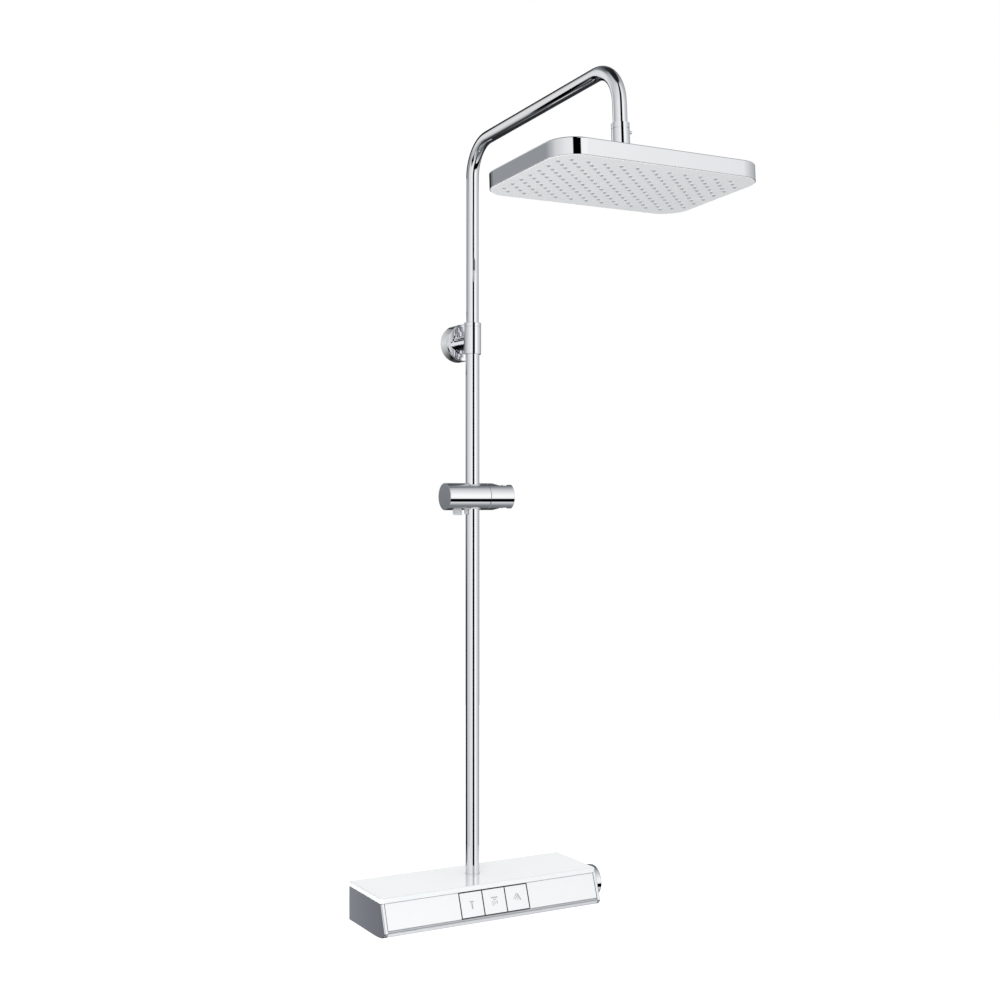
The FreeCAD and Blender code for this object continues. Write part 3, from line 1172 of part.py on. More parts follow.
def head_housing():
    """Back and chrome band of the rain head, open below."""
    outside = rounded_slab(HEAD_WIDTH, HEAD_DEPTH, HEAD_CORNER, -HEAD_BAND, 0)
    outside = outside.makeFillet(HEAD_TOP_EDGE, edges_at_z(outside, 0))
    inside = rounded_slab(HEAD_WIDTH - 2 * HEAD_WALL, HEAD_DEPTH - 2 * HEAD_WALL,
                          HEAD_CORNER - HEAD_WALL, -HEAD_BAND - 1, -HEAD_WALL)
    housing = outside.cut(inside)
    bosses = [rod_z(HEAD_BOSS_RADIUS, HEAD_BOSS_LOW, -HEAD_WALL + 0.5, x, y)
              for x, y in head_screw_places()]
    spigot_hole = rod_z(SOCKET_SPIGOT_RADIUS + RUNNING, -HEAD_WALL - 1, 1, 0, HEAD_FORWARDS)
    housing = join([housing] + bosses).cut(spigot_hole)
    for x, y in head_screw_places():
        housing = housing.cut(rod_z(HEAD_SCREW_RADIUS + RUNNING, HEAD_BOSS_LOW - 1,
                                    HEAD_SCREW_TOP + CLEARANCE, x, y))
    return on_head(housing)


def water_chamber():
    """Tray under the head's back that spreads the water, with outlet holes."""
    width = HEAD_WIDTH - 2 * CHAMBER_INSET
    depth = HEAD_DEPTH - 2 * CHAMBER_INSET
    corner = HEAD_CORNER - CHAMBER_INSET
    floor = CHAMBER_LOW + CHAMBER_WALL
    tray = rounded_slab(width, depth, corner, CHAMBER_LOW, -HEAD_WALL - RUNNING)
    tray = tray.cut(rounded_slab(width - 2 * CHAMBER_WALL, depth - 2 * CHAMBER_WALL, corner - CHAMBER_WALL,
                                 floor, 0))
    for x in CHAMBER_OUTLET_XS:
        for y in CHAMBER_OUTLET_YS:
            tray = tray.cut(rod_z(CHAMBER_OUTLET_RADIUS, CHAMBER_LOW - 1, floor + 1, x, y))
    for x, y in head_screw_places():
        tray = tray.cut(rod_z(HEAD_SCREW_RADIUS + CLEARANCE, CHAMBER_LOW - 1, floor + 1, x, y))
    return on_head(tray)


def head_screws():
    """Screws that hold the chamber to the housing's bosses."""
    screws = []
    for x, y in head_screw_places():
        head = rod_z(HEAD_SCREW_HEAD_RADIUS, CHAMBER_LOW - HEAD_SCREW_HEAD_HEIGHT, CHAMBER_LOW, x, y)
        shank = rod_z(HEAD_SCREW_RADIUS, CHAMBER_LOW, HEAD_SCREW_TOP, x, y)
        screws.append(on_head(join([head, shank])))
    return Part.makeCompound(screws)


def nozzle_sheet():
    """Silicone sheet with a tapered tip for each nozzle."""
    sheet = rounded_slab(HEAD_WIDTH - 2 * SHEET_INSET, HEAD_DEPTH - 2 * SHEET_INSET,
                         HEAD_CORNER - SHEET_INSET, SHEET_TOP - SHEET_THICKNESS, SHEET_TOP)
    root = SHEET_TOP - SHEET_THICKNESS / 2
    length = root + HEAD_BAND + FACE_DROP + NOZZLE_PROUD
    tips = [Part.makeCone(NOZZLE_RADIUS, NOZZLE_RADIUS - NOZZLE_TAPER, length, Vec(x, y, root), -Z_AXIS)
            for x, y in nozzle_places()]
    return on_head(join([sheet] + tips))


def spray_face():
    """White face plate: a plug inside the band and a rounded lip below it."""
    inset = HEAD_WALL + FACE_GAP
    plug = rounded_slab(HEAD_WIDTH - 2 * inset, HEAD_DEPTH - 2 * inset, HEAD_CORNER - inset,
                        -HEAD_BAND - FACE_GAP, FACE_TOP)
    low = -HEAD_BAND - FACE_DROP
    lip = rounded_slab(HEAD_WIDTH - 2 * FACE_STEP, HEAD_DEPTH - 2 * FACE_STEP,
                       HEAD_CORNER - FACE_STEP, low, -HEAD_BAND - FACE_GAP / 2)
    lip = lip.makeFillet(FACE_EDGE, edges_at_z(lip, low))
    face = plug.fuse(lip)
    hole_radius = NOZZLE_RADIUS + NOZZLE_HOLE_GAP
    holes = [rod_z(hole_radius, low - 1, FACE_TOP + 1, x, y) for x, y in nozzle_places()]
    return on_head(face.cut(Part.makeCompound(holes)))


# ------------------------------------------------------------------ export

def all_parts():
    """Every node's name with its shape."""
    parts = {
        "shelf_top_plate": shelf_top_plate(),
        "undertray": undertray(),
        "wall_pads": wall_pads(),
        "end_cap_left": end_cap(-1),
        "end_cap_right": end_cap(1),
        "front_panel_left": front_panel(-1),
        "front_panel_right": front_panel(1),
        "front_trim_strip": front_trim_strip(),
        "button_guide_frame": button_guide_frame(),
        "valve_body": valve_body(),
        "thermostat_cartridge": thermostat_cartridge(),
        "thermostat_spindle": thermostat_spindle(),
        "s_unions": s_unions(),
        "union_nuts": union_nuts(),
        "shutoff_cartridges": shutoff_cartridges(),
        "filter_washers": filter_washers(),
        "check_valves": check_valves(),
        "casing_screws": casing_screws(),
        "hose_outlet": hose_outlet(),
        "temperature_knob": temperature_knob(),
        "knob_cover": knob_cover(),
        "knob_screw": knob_screw(),
        "override_button": override_button(),
        "override_spring": override_spring(),
        "riser_nipple": riser_nipple(),
        "riser_o_rings": riser_o_rings(),
        "lower_riser_tube": lower_riser_tube(),
        "guide_bush": guide_bush(),
        "telescope_piston": telescope_piston(),
        "telescope_o_rings": telescope_o_rings(),
        "upper_riser_arm": upper_riser_arm(),
        "bracket_wall_plate": bracket_wall_plate(),
        "bracket_flange": bracket_flange(),
        "bracket_collar": bracket_collar(),
        "flange_grub_screw": flange_grub_screw(),
        "telescope_lock_ring": telescope_lock_ring(),
        "slider_liner": slider_liner(),
        "slider_body": slider_body(),
        "release_tab": release_tab(),
        "release_spring": release_spring(),
        "hand_shower_holder": hand_shower_holder(),
        "holder_axle": holder_axle(),
        "friction_washer": friction_washer(),
        "drop_sleeve": drop_sleeve(),
        "sleeve_pin": sleeve_pin(),
        "ball_stem": ball_stem(),
        "ball_seat": ball_seat(),
        "ball_ring": ball_ring(),
        "socket_nut": socket_nut(),
        "head_housing": head_housing(),
        "water_chamber": water_chamber(),
        "head_screws": head_screws(),
        "nozzle_sheet": nozzle_sheet(),
        "spray_face": spray_face(),
    }
    for k, name in enumerate(BUTTON_NAMES):
        x = (k - 1) * BUTTON_PITCH
        parts["button_" + name] = button_cap(x)
        parts["button_spring_" + name] = button_spring(x)
    return parts


os.makedirs("parts", exist_ok=True)
for node, shape in all_parts().items():
    shape.exportStep("parts/" + node + ".step")
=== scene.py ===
import json
import math

import bmesh
import bpy
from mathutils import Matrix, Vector


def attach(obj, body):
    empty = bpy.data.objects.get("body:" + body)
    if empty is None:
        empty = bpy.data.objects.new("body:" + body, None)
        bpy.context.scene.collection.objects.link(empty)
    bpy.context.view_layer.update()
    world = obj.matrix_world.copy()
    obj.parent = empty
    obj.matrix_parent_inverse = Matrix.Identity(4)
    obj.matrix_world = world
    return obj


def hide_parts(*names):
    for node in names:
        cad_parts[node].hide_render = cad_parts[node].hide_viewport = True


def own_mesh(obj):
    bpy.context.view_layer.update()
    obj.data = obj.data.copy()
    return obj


# Looks of the rainfall shower column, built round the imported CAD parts. Metres, in the CAD frame:
# X to the right, Y towards the wall, Z up, with the origin on the wall plane between the two inlets.

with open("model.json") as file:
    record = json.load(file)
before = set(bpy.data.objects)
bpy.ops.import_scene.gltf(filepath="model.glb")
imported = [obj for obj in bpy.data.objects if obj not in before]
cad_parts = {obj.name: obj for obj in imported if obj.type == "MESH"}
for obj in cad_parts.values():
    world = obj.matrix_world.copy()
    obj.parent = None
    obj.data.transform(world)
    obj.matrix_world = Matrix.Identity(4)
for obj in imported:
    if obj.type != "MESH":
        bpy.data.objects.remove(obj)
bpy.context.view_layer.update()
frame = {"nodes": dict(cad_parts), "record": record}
NODES = frame["nodes"]

MM = 0.001
Z_AXIS = Vector((0, 0, 1))
# The part of a noise texture's range that its values fill.
NOISE_LOW = 0.3
NOISE_HIGH = 0.7

# ------------------------------------------------------------------ camera and stage

CAMERA_PLACE = Vector((-1.0914, -2.0914, 0.6318))
CAMERA_TURN = math.radians(-29.27)
CAMERA_LENS_MM = 52.0
SENSOR_MM = 36.0
CAMERA_SHIFT_Y = -0.0025
CAMERA_REACH = 100
FLOOR_Z = -1.0
FLOOR_GLOW = 0.55
FLOOR_SIDES = 96
FLOOR_GRAIN = 3.0
FLOOR_GREYS = (0.90, 0.93)
FLOOR_RADIUS = 9.0
REFLECTED_STRENGTH = 1.15
AMBIENT_STRENGTH = 0.80
# Soft patches of the studio: (turn's start, full, hold and end, the same four of the rise, brightness).
STUDIO_PATCHES = [
    ((106, 114, 126, 176), (3, 8, 18, 24), 0.30),
    ((40, 55, 66, 76), (8, 12, 34, 40), 0.14),
    ((64, 74, 92, 98), (12, 17, 37, 42), 0.04),
    ((50, 56, 67, 72), (12.3, 13.4, 16.0, 17.2), 0.85),
]
# Brightness round the horizon, in degrees: -90 is the front, 0 the right, 90 the wall and 180 the left.
AROUND_STOPS = [
    (-180, 0.68), (-165, 0.73), (-148, 0.81), (-131, 0.85), (-114, 0.87), (-82, 0.95), (-62, 0.96),
    (-44, 0.75), (-22, 0.60), (7, 0.46), (50, 0.50), (75, 0.62), (95, 0.88), (118, 0.95), (132, 0.90),
    (155, 0.62), (176, 0.67), (180, 0.68),
]
# Brightness from straight down, -90, to straight up, 90, in front of the wall and on the wall's side.
FRONT_RISE_STOPS = [
    (-90, 0.18), (-70, 0.24), (-58, 0.45), (-48, 0.74), (-39, 0.80), (-37.5, 0.0), (-16.5, 0.0),
    (-15, 0.88), (-8, 0.94), (0, 1.0), (13, 0.98), (28, 0.88), (43, 0.82), (54, 0.76), (60, 0.62),
    (65, 0.03), (90, 0.02),
]
BACK_RISE_STOPS = [
    (-90, 0.40), (-60, 0.30), (-45, 0.10), (-36, 0.06), (-28, 0.0), (-24, 0.10), (-17, 0.08), (-13, 0.0),
    (-4, 0.03), (0, 0.22), (5, 0.33), (12, 0.55), (18, 0.78), (28, 0.76), (36, 0.34), (52, 0.12),
    (64, 0.03), (90, 0.02),
]
# How far each turn belongs to the wall's side.
BEHIND_STOPS = [(5, 0.0), (40, 1.0), (132, 1.0), (156, 0.1), (168, 0.0)]
# A black flag in front, just right of the camera's own side, for the dark line on upright tubes.
FLAG_STOPS = [(-116.5, 1.0), (-115, 0.0), (-85, 0.0), (-83.5, 1.0)]
# What is dark is bluish, and what is bright is white.
TINT_STOPS = [(0.0, (0.86, 0.92, 1.0)), (0.45, (0.95, 0.97, 1.0)), (0.8, 1.0)]
AMBIENT_COLOUR = (0.97, 0.985, 1.0, 1)
WHITE = (1, 1, 1, 1)
# Soft boxes: (name, place, what it points at, width, watts).
LIGHTS = [
    ("key", (-2.6, -2.6, 1.6), (0, -0.2, 0.4), 1.8, 40),
    ("fill", (2.4, -1.8, 1.4), (0, -0.2, 0.6), 2.0, 4),
    ("top", (0, -0.3, 3.0), (0, -0.1, 0), 2.0, 12),
    ("under", (-0.75, -0.35, -0.92), (0, -0.35, 1.05), 1.2, 23),
]
# Brightness of the card beside the arm, by the angle about one point in degrees, to CARD_REACH each way.
ARM_CARD_ANGLES = [(-100, 0.0), (-95, 0.07), (-78, 0.0), (-62, 0.02), (-47, 0.34), (-32, 0.58), (-17, 0.78),
                   (-2, 0.78), (14, 0.84), (30, 0.80), (49, 0.77), (70, 0.35), (85, 0.02)]
CARD_REACH = 100.0
# Upright reflector cards near the object, with corners in x and z. Stops are (part of the way across, grey or
# colour), along X, along Z or by the angle about a point.
CARDS = [
    {"name": "shelf_card", "y": 0.30,
     "corners": [(-0.43, -0.28), (-0.20, -0.28), (-0.20, -0.04), (-0.43, -0.04)],
     "stops": [(0.0, (0.14, 0.145, 0.16)), (0.30, (0.20, 0.21, 0.23)), (0.75, (0.33, 0.345, 0.37)),
               (1.0, (0.36, 0.375, 0.395))]},
    {"name": "arm_card", "y": -0.05, "about": (-0.010, 1.197),
     "corners": [(-0.335, 0.90), (-0.16, 0.90), (-0.03, 1.15), (-0.03, 1.50), (-0.335, 1.50)],
     "stops": [((angle + CARD_REACH) / (2 * CARD_REACH), grey) for angle, grey in ARM_CARD_ANGLES]},
    {"name": "bracket_card", "y": 0.03, "along": "Z",
     "corners": [(-0.068, 0.835), (-0.012, 0.835), (-0.012, 0.94), (-0.068, 0.94)],
     "stops": [(0.0, 0.05), (0.2, 0.5), (0.48, 0.78), (0.76, 0.62), (1.0, 0.08)]},
    {"name": "back_card", "y": 0.03,
     "corners": [(-0.07, 1.16), (0.22, 1.16), (0.22, 1.46), (-0.07, 1.46)],
     "stops": [(0.0, 0.0), (1.0, 0.0)]},
    {"name": "corner_card", "y": -0.15,
     "corners": [(-0.30, 1.05), (-0.06, 1.05), (-0.06, 1.15), (-0.30, 1.15)],
     "stops": [(0.0, 0.23), (0.25, 0.20), (0.42, 0.09), (0.55, 0.0), (1.0, 0.0)]},
    {"name": "bend_card", "y": -0.122,
     "corners": [(-0.10, 1.10), (-0.10, 1.158), (0.004, 1.158), (0.004, 1.10)],
     "stops": [(0.0, 0.90), (0.5, 0.95), (0.66, 0.96), (0.70, 0.0), (1.0, 0.0)]},
]


def make_camera():
    """A level camera, front left of the column, at the middle of its height."""
    data = bpy.data.cameras.new("camera")
    data.lens = CAMERA_LENS_MM
    data.sensor_width = SENSOR_MM
    data.shift_y = CAMERA_SHIFT_Y
    data.clip_end = CAMERA_REACH
    camera = bpy.data.objects.new("camera", data)
    camera.location = CAMERA_PLACE
    camera.rotation_euler = (math.pi / 2, 0, CAMERA_TURN)
    bpy.context.scene.collection.objects.link(camera)
    bpy.context.scene.camera = camera


def make_light(name, place, target, size, power):
    """A square soft box that lights the object and doesn't show in its reflections."""
    data = bpy.data.lights.new(name, "AREA")
    data.size = size
    data.energy = power
    light = bpy.data.objects.new(name, data)
    light.location = place
    light.rotation_mode = "QUATERNION"
    light.rotation_quaternion = (Vector(target) - Vector(place)).to_track_quat("-Z", "Y")
    light.visible_glossy = False
    light.visible_camera = False
    bpy.context.scene.collection.objects.link(light)


def add_node(tree, kind, inputs=(), **settings):
    """A shader node with its settings, and with inputs given as (socket, value or other socket)."""
    node = tree.nodes.new(kind)
    for key, value in settings.items():
        setattr(node, key, value)
    for socket, value in inputs:
        if isinstance(value, bpy.types.NodeSocket):
            tree.links.new(value, node.inputs[socket])
        else:
            node.inputs[socket].default_value = value
    return node


def math_node(tree, operation, a, b=0.0):
    """One sum on values or sockets. A sum on one value leaves the second unused."""
    return add_node(tree, "ShaderNodeMath", [(0, a), (1, b)], operation=operation).outputs[0]


def ramp_node(tree, factor, stops):
    """A colour ramp with stops of (position, grey or (r, g, b))."""
    node = add_node(tree, "ShaderNodeValToRGB", [("Fac", factor)])
    elements = node.color_ramp.elements
    while len(elements) < len(stops):
        elements.new(0.5)
    for element, (position, colour) in zip(elements, stops):
        element.position = position
        rgb = colour if isinstance(colour, tuple) else (colour, colour, colour)
        element.color = (*rgb, 1)
    return node.outputs["Color"]


def to_degrees(tree, angle):
    """A socket's radians as degrees."""
    return math_node(tree, "MULTIPLY", angle, 180 / math.pi)


def angle_ramp(tree, angle, low, high, stops):
    """A ramp over an angle in degrees, with stops of (degrees, grey or colour)."""
    scaled = range_node(tree, angle, low, high)
    return ramp_node(tree, scaled, [((a - low) / (high - low), colour) for a, colour in stops])


def multiply(tree, a, b):
    """The product of two greys or colours."""
    inputs = [(0, 1.0), (6, a), (7, b)]
    return add_node(tree, "ShaderNodeMix", inputs, data_type="RGBA", blend_type="MULTIPLY").outputs[2]


def mix(tree, amount, a, b):
    """From one grey or colour, at 0, to another, at 1."""
    return add_node(tree, "ShaderNodeMix", [(0, amount), (6, a), (7, b)], data_type="RGBA").outputs[2]


def range_node(tree, value, low, high):
    """0 to 1 as a value goes from low to high."""
    return add_node(tree, "ShaderNodeMapRange", [(0, value), (1, low), (2, high)]).outputs[0]


def glow_node(tree, kind, colour, strength):
    """A background or emission shader."""
    return add_node(tree, kind, [("Color", colour), ("Strength", strength)]).outputs[0]


def mix_shaders(tree, amount, a, b):
    """From one shader, at 0, to another, at 1."""
    return add_node(tree, "ShaderNodeMixShader", [(0, amount), (1, a), (2, b)]).outputs[0]


def window_stops(start, full, hold, end):
    """Ramp stops of a soft window that is 1 between full and hold, and 0 outside start and end."""
    return [(start, 0.0), (full, 1.0), (hold, 1.0), (end, 0.0)]


def make_world():
    """A white studio. What the chrome reflects is a bright front, dark flags and a grey back."""
    world = bpy.data.worlds.new("studio")
    world.use_nodes = True
    world.cycles.sampling_method = "NONE"
    bpy.context.scene.world = world
    tree = world.node_tree
    tree.nodes.clear()
    direction = add_node(tree, "ShaderNodeTexCoord").outputs["Generated"]
    parts = add_node(tree, "ShaderNodeSeparateXYZ", [(0, direction)])
    turn = to_degrees(tree, math_node(tree, "ARCTAN2", parts.outputs["Y"], parts.outputs["X"]))
    rise = to_degrees(tree, math_node(tree, "ARCSINE", parts.outputs["Z"]))
    around = angle_ramp(tree, turn, -180, 180, AROUND_STOPS)
    front_rise = angle_ramp(tree, rise, -90, 90, FRONT_RISE_STOPS)
    back_rise = angle_ramp(tree, rise, -90, 90, BACK_RISE_STOPS)
    behind = angle_ramp(tree, turn, -180, 180, BEHIND_STOPS)
    bright = multiply(tree, around, mix(tree, behind, front_rise, back_rise))
    flag = angle_ramp(tree, turn, -180, 180, FLAG_STOPS)
    bright = multiply(tree, bright, flag)
    for turns, rises, brightness in STUDIO_PATCHES:
        window = multiply(tree, angle_ramp(tree, turn, -180, 180, window_stops(*turns)),
                          angle_ramp(tree, rise, -90, 90, window_stops(*rises)))
        grey = (brightness, brightness, brightness, 1)
        bright = mix(tree, window, bright, grey)
    tint = ramp_node(tree, bright, TINT_STOPS)
    seen = multiply(tree, bright, tint)
    ray = add_node(tree, "ShaderNodeLightPath")
    reflected = glow_node(tree, "ShaderNodeBackground", seen, REFLECTED_STRENGTH)
    ambient = glow_node(tree, "ShaderNodeBackground", AMBIENT_COLOUR, AMBIENT_STRENGTH)
    plain = glow_node(tree, "ShaderNodeBackground", WHITE, 1.0)
    lit = mix_shaders(tree, ray.outputs["Is Glossy Ray"], ambient, reflected)
    shown = mix_shaders(tree, ray.outputs["Is Camera Ray"], lit, plain)
    output = add_node(tree, "ShaderNodeOutputWorld", [("Surface", shown)])
    output.is_active_output = True


def card_position(tree, corners, along, about):
    """0 to 1 across a card: along X or Z, or by the angle about a point, from -CARD_REACH to CARD_REACH."""
    place = add_node(tree, "ShaderNodeTexCoord").outputs["Object"]
    parts = add_node(tree, "ShaderNodeSeparateXYZ", [(0, place)])
    if about:
        leftwards = math_node(tree, "SUBTRACT", about[0], parts.outputs["X"])
        upwards = math_node(tree, "SUBTRACT", parts.outputs["Z"], about[1])
        angle = to_degrees(tree, math_node(tree, "ARCTAN2", upwards, leftwards))
        return range_node(tree, angle, -CARD_REACH, CARD_REACH)
    k = "XZ".index(along)
    low = min(corner[k] for corner in corners)
    high = max(corner[k] for corner in corners)
    return range_node(tree, parts.outputs[along], low, high)


def make_card(name, corners, y, stops, along="X", about=None):
    """An upright reflector card at a fixed y, seen only in reflections and only from its front."""
    mesh = bpy.data.meshes.new(name)
    mesh.from_pydata([(x, y, z) for x, z in corners], [], [list(range(len(corners)))])
    card = bpy.data.objects.new(name, mesh)
    bpy.context.scene.collection.objects.link(card)
    material = bpy.data.materials.new(name)
    material.use_nodes = True
    tree = material.node_tree
    tree.nodes.clear()
    scaled = card_position(tree, corners, along, about)
    glow = glow_node(tree, "ShaderNodeEmission", ramp_node(tree, scaled, stops), 1.0)
    clear = add_node(tree, "ShaderNodeBsdfTransparent").outputs[0]
    backwards = add_node(tree, "ShaderNodeNewGeometry").outputs["Backfacing"]
    one_sided = mix_shaders(tree, backwards, glow, clear)
    add_node(tree, "ShaderNodeOutputMaterial", [("Surface", one_sided)])
    mesh.materials.append(material)
    card.visible_camera = False
    card.visible_diffuse = False
    card.visible_shadow = False
    card.visible_transmission = False


def make_floor():
    """A round pale floor far under the shelf."""
    mesh = bpy.data.meshes.new("floor")
    form = bmesh.new()
    bmesh.ops.create_circle(form, cap_ends=True, segments=FLOOR_SIDES, radius=FLOOR_RADIUS)
    form.to_mesh(mesh)
    form.free()
    floor = bpy.data.objects.new("floor", mesh)
    floor.location = (0, 0, FLOOR_Z)
    bpy.context.scene.collection.objects.link(floor)
    material = bpy.data.materials.new("floor")
    material.use_nodes = True
    tree = material.node_tree
    shader = tree.nodes["Principled BSDF"]
    grain = add_node(tree, "ShaderNodeTexNoise", [("Scale", FLOOR_GRAIN), ("Detail", 4.0)])
    greys = [(NOISE_LOW, FLOOR_GREYS[0]), (NOISE_HIGH, FLOOR_GREYS[1])]
    mottle = ramp_node(tree, grain.outputs["Fac"], greys)
    tree.links.new(mottle, shader.inputs["Base Color"])
    shader.inputs["Roughness"].default_value = 0.9
    shader.inputs["Emission Color"].default_value = WHITE
    shader.inputs["Emission Strength"].default_value = FLOOR_GLOW
    mesh.materials.append(material)
    floor.visible_glossy = False
    floor.visible_diffuse = False


# ------------------------------------------------------------------ materials

# How many times coarser the mottle is than the bump.
MOTTLE_COARSENESS = 18
# Painted shade: darkening of the faces that look left or right, by how far they do, standing in for the shade
# in the gaps round buttons and panels.
SIDE_SHADE = [(0.6, 1.0), (0.8, 0.10)]


def surface(name, colour, metallic=0.0, roughness=(0.3, 0.4), mottle=0.02, grain=900.0, bump=0.05,
            bump_depth=0.02 * MM, stretch=(1, 1, 1), painted_side_shade=False, **sockets):
    """A Principled material with fine colour mottle, roughness variation and bump, all from object space.

    The painted side shade option darkens the faces that look left or right, standing in for the shade on the
    sides of a button in its gap.
    """
    material = bpy.data.materials.new(name)
    material.use_nodes = True
    tree = material.node_tree
    shader = tree.nodes["Principled BSDF"]
    place = add_node(tree, "ShaderNodeTexCoord").outputs["Object"]
    place = add_node(tree, "ShaderNodeMapping", [("Vector", place), ("Scale", stretch)]).outputs[0]
    broad = add_node(tree, "ShaderNodeTexNoise",
                     [("Vector", place), ("Scale", grain / MOTTLE_COARSENESS), ("Detail", 5.0),
                      ("Roughness", 0.6)])
    fine = add_node(tree, "ShaderNodeTexNoise",
                    [("Vector", place), ("Scale", grain), ("Detail", 3.0), ("Roughness", 0.5)])
    dark = tuple(c * (1 - mottle) for c in colour)
    light = tuple(min(1.0, c * (1 + mottle)) for c in colour)
    tint = ramp_node(tree, broad.outputs["Fac"], [(NOISE_LOW, dark), (NOISE_HIGH, light)])
    # Painted shade on the faces that look left or right, for the gaps round buttons and panels.
    if painted_side_shade:
        normal = add_node(tree, "ShaderNodeNewGeometry").outputs["True Normal"]
        facing = add_node(tree, "ShaderNodeSeparateXYZ", [(0, normal)])
        sideways = math_node(tree, "ABSOLUTE", facing.outputs["X"])
        tint = multiply(tree, tint, ramp_node(tree, sideways, SIDE_SHADE))
    tree.links.new(tint, shader.inputs["Base Color"])
    rough = add_node(tree, "ShaderNodeMapRange", [(0, broad.outputs["Fac"]), (1, NOISE_LOW), (2, NOISE_HIGH),
                                                  (3, roughness[0]), (4, roughness[1])])
    tree.links.new(rough.outputs[0], shader.inputs["Roughness"])
    relief = add_node(tree, "ShaderNodeBump", [("Strength", bump), ("Distance", bump_depth),
                                               ("Height", fine.outputs["Fac"])])
    tree.links.new(relief.outputs[0], shader.inputs["Normal"])
    shader.inputs["Metallic"].default_value = metallic
    for socket, value in sockets.items():
        shader.inputs[socket.replace("_", " ")].default_value = value
    return material


def make_materials():
    """The materials by name. Each is the record's slot of that name, apart from print_grey."""
    return {
        "chrome": surface("chrome", (0.87, 0.88, 0.90), 1.0, (0.015, 0.04), 0.006, 500, 0.02),
        "chromed_plastic": surface("chromed_plastic", (0.86, 0.87, 0.89), 1.0, (0.02, 0.05), 0.008,
                                   500, 0.03),
        "glass_white": surface("glass_white", (0.86, 0.875, 0.875), 0.0, (0.05, 0.10), 0.01, 400, 0.02,
                               Coat_Weight=1.0, Coat_Roughness=0.02, Coat_IOR=1.52),
        # Panels and buttons carry painted shade on their side faces.
        "panel_white": surface("panel_white", (0.86, 0.865, 0.87), 0.0, (0.12, 0.18), 0.008, 700, 0.04,
                               painted_side_shade=True, Coat_Weight=0.4, Coat_Roughness=0.06),
        "button_white": surface("button_white", (0.86, 0.865, 0.865), 0.0, (0.14, 0.2), 0.008, 700, 0.05,
                                painted_side_shade=True, Coat_Weight=0.3, Coat_Roughness=0.08),
        "casing_grey": surface("casing_grey", (0.54, 0.55, 0.57), 0.0, (0.5, 0.62), 0.03, 2200, 0.25),
        "dark_plastic": surface("dark_plastic", (0.03, 0.03, 0.034), 0.0, (0.42, 0.55), 0.1, 1800, 0.2),
        "spray_white": surface("spray_white", (0.87, 0.875, 0.88), 0.0, (0.16, 0.24), 0.01, 900, 0.06,
                               Coat_Weight=0.25, Coat_Roughness=0.1),
        "silicone": surface("silicone", (0.46, 0.48, 0.50), 0.0, (0.45, 0.6), 0.05, 3000, 0.3,
                            Subsurface_Weight=0.2, Subsurface_Scale=0.8 * MM),
        "inner_plastic": surface("inner_plastic", (0.70, 0.69, 0.64), 0.0, (0.35, 0.5), 0.03, 1600, 0.15),
        "black_rubber": surface("black_rubber", (0.022, 0.022, 0.024), 0.0, (0.6, 0.8), 0.15, 2600, 0.35),
        "print_grey": surface("print_grey", (0.42, 0.43, 0.44), 0.0, (0.35, 0.5), 0.03, 1800, 0.1),
        "brass": surface("brass", (0.80, 0.60, 0.30), 1.0, (0.22, 0.38), 0.06, 700, 0.25, stretch=(4, 1, 1)),
        "plated_brass": surface("plated_brass", (0.72, 0.71, 0.68), 1.0, (0.16, 0.28), 0.04, 900, 0.15),
        "satin_trim": surface("satin_trim", (0.80, 0.81, 0.83), 0.4, (0.30, 0.40), 0.02, 900, 0.08,
                              stretch=(1, 4, 4)),
        "steel": surface("steel", (0.60, 0.60, 0.61), 1.0, (0.25, 0.4), 0.05, 1200, 0.25, stretch=(1, 1, 5)),
        "spring_steel": surface("spring_steel", (0.50, 0.50, 0.52), 1.0, (0.22, 0.36), 0.06, 1500, 0.2),
    }


def paint_cad_nodes(materials):
    """Gives every CAD node the material of its record slot."""
    for part in frame["record"]["subparts"]:
        mesh = NODES[part["node"]].data
        mesh.materials.clear()
        mesh.materials.append(materials[part["material_slot"]])


# ------------------------------------------------------------------ printed marks

FRONT_NORMAL = Vector((0, -0.943801, 0.330514))
FRONT_UP = Vector((0, 0.330514, 0.943801))
PRINT_HEIGHT = 0.08 * MM
PRINT_SINK = 0.02 * MM
FLAT_DEPTH = 0.02 * MM


def face_middle(node, normal):
    """The middle of a CAD node's outermost flat along a direction."""
    places = [vertex.co.copy() for vertex in NODES[node].data.vertices]
    reach = max(place.dot(normal) for place in places)
    flat = [place for place in places if place.dot(normal) > reach - FLAT_DEPTH]
    low = Vector([min(place[k] for place in flat) for k in range(3)])
    high = Vector([max(place[k] for place in flat) for k in range(3)])
    middle = (low + high) / 2
    return middle + normal * (reach - middle.dot(normal))


def stroke(start, end, width):
    """The four corners of a straight stroke, in millimetres across and up the face."""
    start = Vector((*start, 0))
    end = Vector((*end, 0))
    side = (end - start).normalized().cross(Z_AXIS) * (width / 2)
    return [start + side, end + side, end - side, start - side]


def make_print(name, strokes, origin, normal, up, body, material):
    """A thin raised print of strokes on a flat face."""
    right = up.cross(normal)
    form = bmesh.new()
    for corners in strokes:
        places = [origin + (right * place.x + up * place.y) * MM for place in corners]
        low = [form.verts.new(place - normal * PRINT_SINK) for place in places]
        high = [form.verts.new(place + normal * PRINT_HEIGHT) for place in places]
        form.faces.new(low[::-1])
        form.faces.new(high)
        for corner in range(len(places)):
            following = (corner + 1) % len(places)
            form.faces.new((low[corner], low[following], high[following], high[corner]))
    bmesh.ops.recalc_face_normals(form, faces=form.faces)
    add_piece(name, form, body, material)


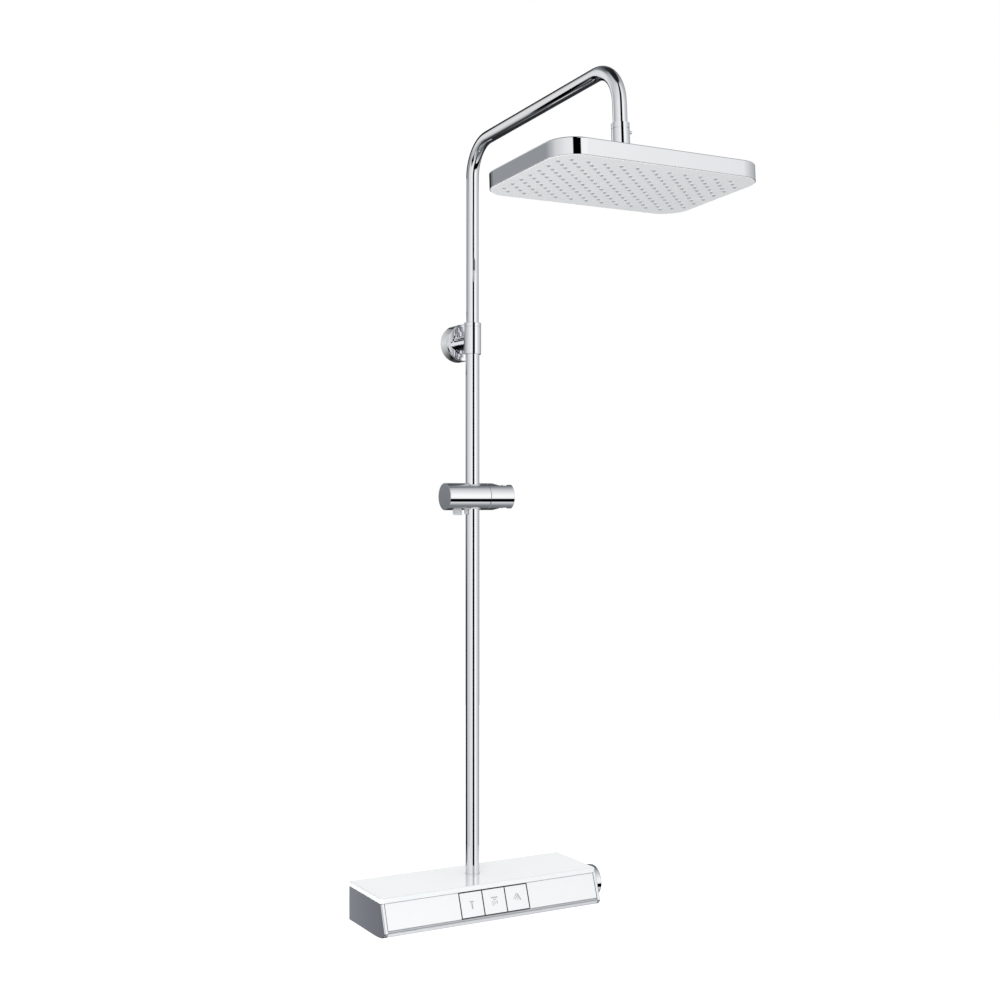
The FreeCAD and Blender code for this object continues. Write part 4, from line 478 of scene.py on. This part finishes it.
def add_piece(name, form, body, material, smooth=False):
    """Turns a bmesh into a piece that rides on a CAD body."""
    mesh = bpy.data.meshes.new(name)
    form.to_mesh(mesh)
    form.free()
    mesh.materials.append(material)
    if smooth:
        mesh.polygons.foreach_set("use_smooth", [True] * len(mesh.polygons))
    piece = bpy.data.objects.new(name, mesh)
    bpy.context.scene.collection.objects.link(piece)
    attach(piece, body)
    return piece


def button_prints():
    """Pictograms of the hand shower, the rain spray and the jet, one on each button."""
    prints = {
        "hand_shower": [stroke((-3.4, 4.2), (3.4, 4.2), 1.9), stroke((0, 2.4), (0, -7.0), 2.2)],
        "rain": [stroke((-5.8, 5.4), (5.8, 5.4), 1.8), stroke((-2.6, 2.6), (2.6, 2.6), 1.2),
                 stroke((-3.6, 0.8), (-3.6, -6.8), 1.1), stroke((0, 0.8), (0, -5.4), 1.0),
                 stroke((3.8, 0.8), (3.8, -4.4), 1.4)],
        "jet": [stroke((-0.6, 6.2), (-6.4, -1.6), 1.1), stroke((-0.6, 3.0), (-3.0, -3.2), 0.9),
                stroke((0.2, 3.0), (1.4, -3.8), 0.9), stroke((0.6, 6.2), (6.2, -4.2), 2.1)],
    }
    for function, strokes in prints.items():
        origin = face_middle("button_" + function, FRONT_NORMAL)
        make_print(function + "_print", strokes, origin, FRONT_NORMAL, FRONT_UP, function + "_button",
                   MATERIALS["print_grey"])


# ------------------------------------------------------------------ springs

STEPS_PER_TURN = 28
WIRE_SIDES = 10
BUTTON_SPRING = {"body": "mixer", "axis": FRONT_NORMAL, "wire": 0.9 * MM, "turns": 5, "travel": 3 * MM}
# Springs, each with its joint and travel. The axis points away from the fixed end.
SPRINGS = [{"node": "button_spring_" + function, "joint": function + "_press", **BUTTON_SPRING}
           for function in ("hand_shower", "rain", "jet")]
SPRINGS += [
    {"node": "release_spring", "body": "slider", "joint": "release_press", "axis": -Z_AXIS,
     "wire": 0.8 * MM, "turns": 6, "travel": 3 * MM},
    {"node": "override_spring", "body": "knob", "joint": "override_press", "axis": Z_AXIS,
     "wire": 0.7 * MM, "turns": 3, "travel": 1.6 * MM},
]


def span(places, direction):
    """How far a set of places reaches along a direction: (lowest, highest)."""
    reaches = [place.dot(direction) for place in places]
    return min(reaches), max(reaches)


def make_spring(node, body, joint, axis, wire, turns, travel):
    """A coil of round wire in a CAD spring's place."""
    places = [vertex.co for vertex in NODES[node].data.vertices]
    across = Vector((1, 0, 0))
    upwards = axis.cross(across)
    base, top = span(places, axis)
    left, right = span(places, across)
    low, high = span(places, upwards)
    anchor = across * (left + right) / 2 + upwards * (low + high) / 2 + axis * base
    radius = (right - left - wire) / 2
    rise = top - base - wire
    form = bmesh.new()
    rings = []
    steps = round(STEPS_PER_TURN * turns)
    for step in range(steps + 1):
        angle = 2 * math.pi * turns * step / steps
        outwards = across * math.cos(angle) + upwards * math.sin(angle)
        middle = anchor + outwards * radius + axis * (wire / 2 + rise * step / steps)
        ring = []
        for side in range(WIRE_SIDES):
            turn = 2 * math.pi * side / WIRE_SIDES
            from_middle = outwards * math.cos(turn) + axis * math.sin(turn)
            ring.append(form.verts.new(middle + from_middle * (wire / 2)))
        rings.append(ring)
    for ring, following in zip(rings, rings[1:]):
        for side in range(WIRE_SIDES):
            beside = (side + 1) % WIRE_SIDES
            form.faces.new((ring[side], ring[beside], following[beside], following[side]))
    form.faces.new(rings[0][::-1])
    form.faces.new(rings[-1])
    bmesh.ops.recalc_face_normals(form, faces=form.faces)
    coil = add_piece(node + "_coil", form, body, MATERIALS["spring_steel"], smooth=True)
    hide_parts(node)
    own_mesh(coil)


bpy.context.scene.view_settings.view_transform = "Standard"
make_camera()
make_world()
make_floor()
for card in CARDS:
    make_card(**card)
for light in LIGHTS:
    make_light(*light)
MATERIALS = make_materials()
paint_cad_nodes(MATERIALS)
button_prints()
for spring in SPRINGS:
    make_spring(**spring)
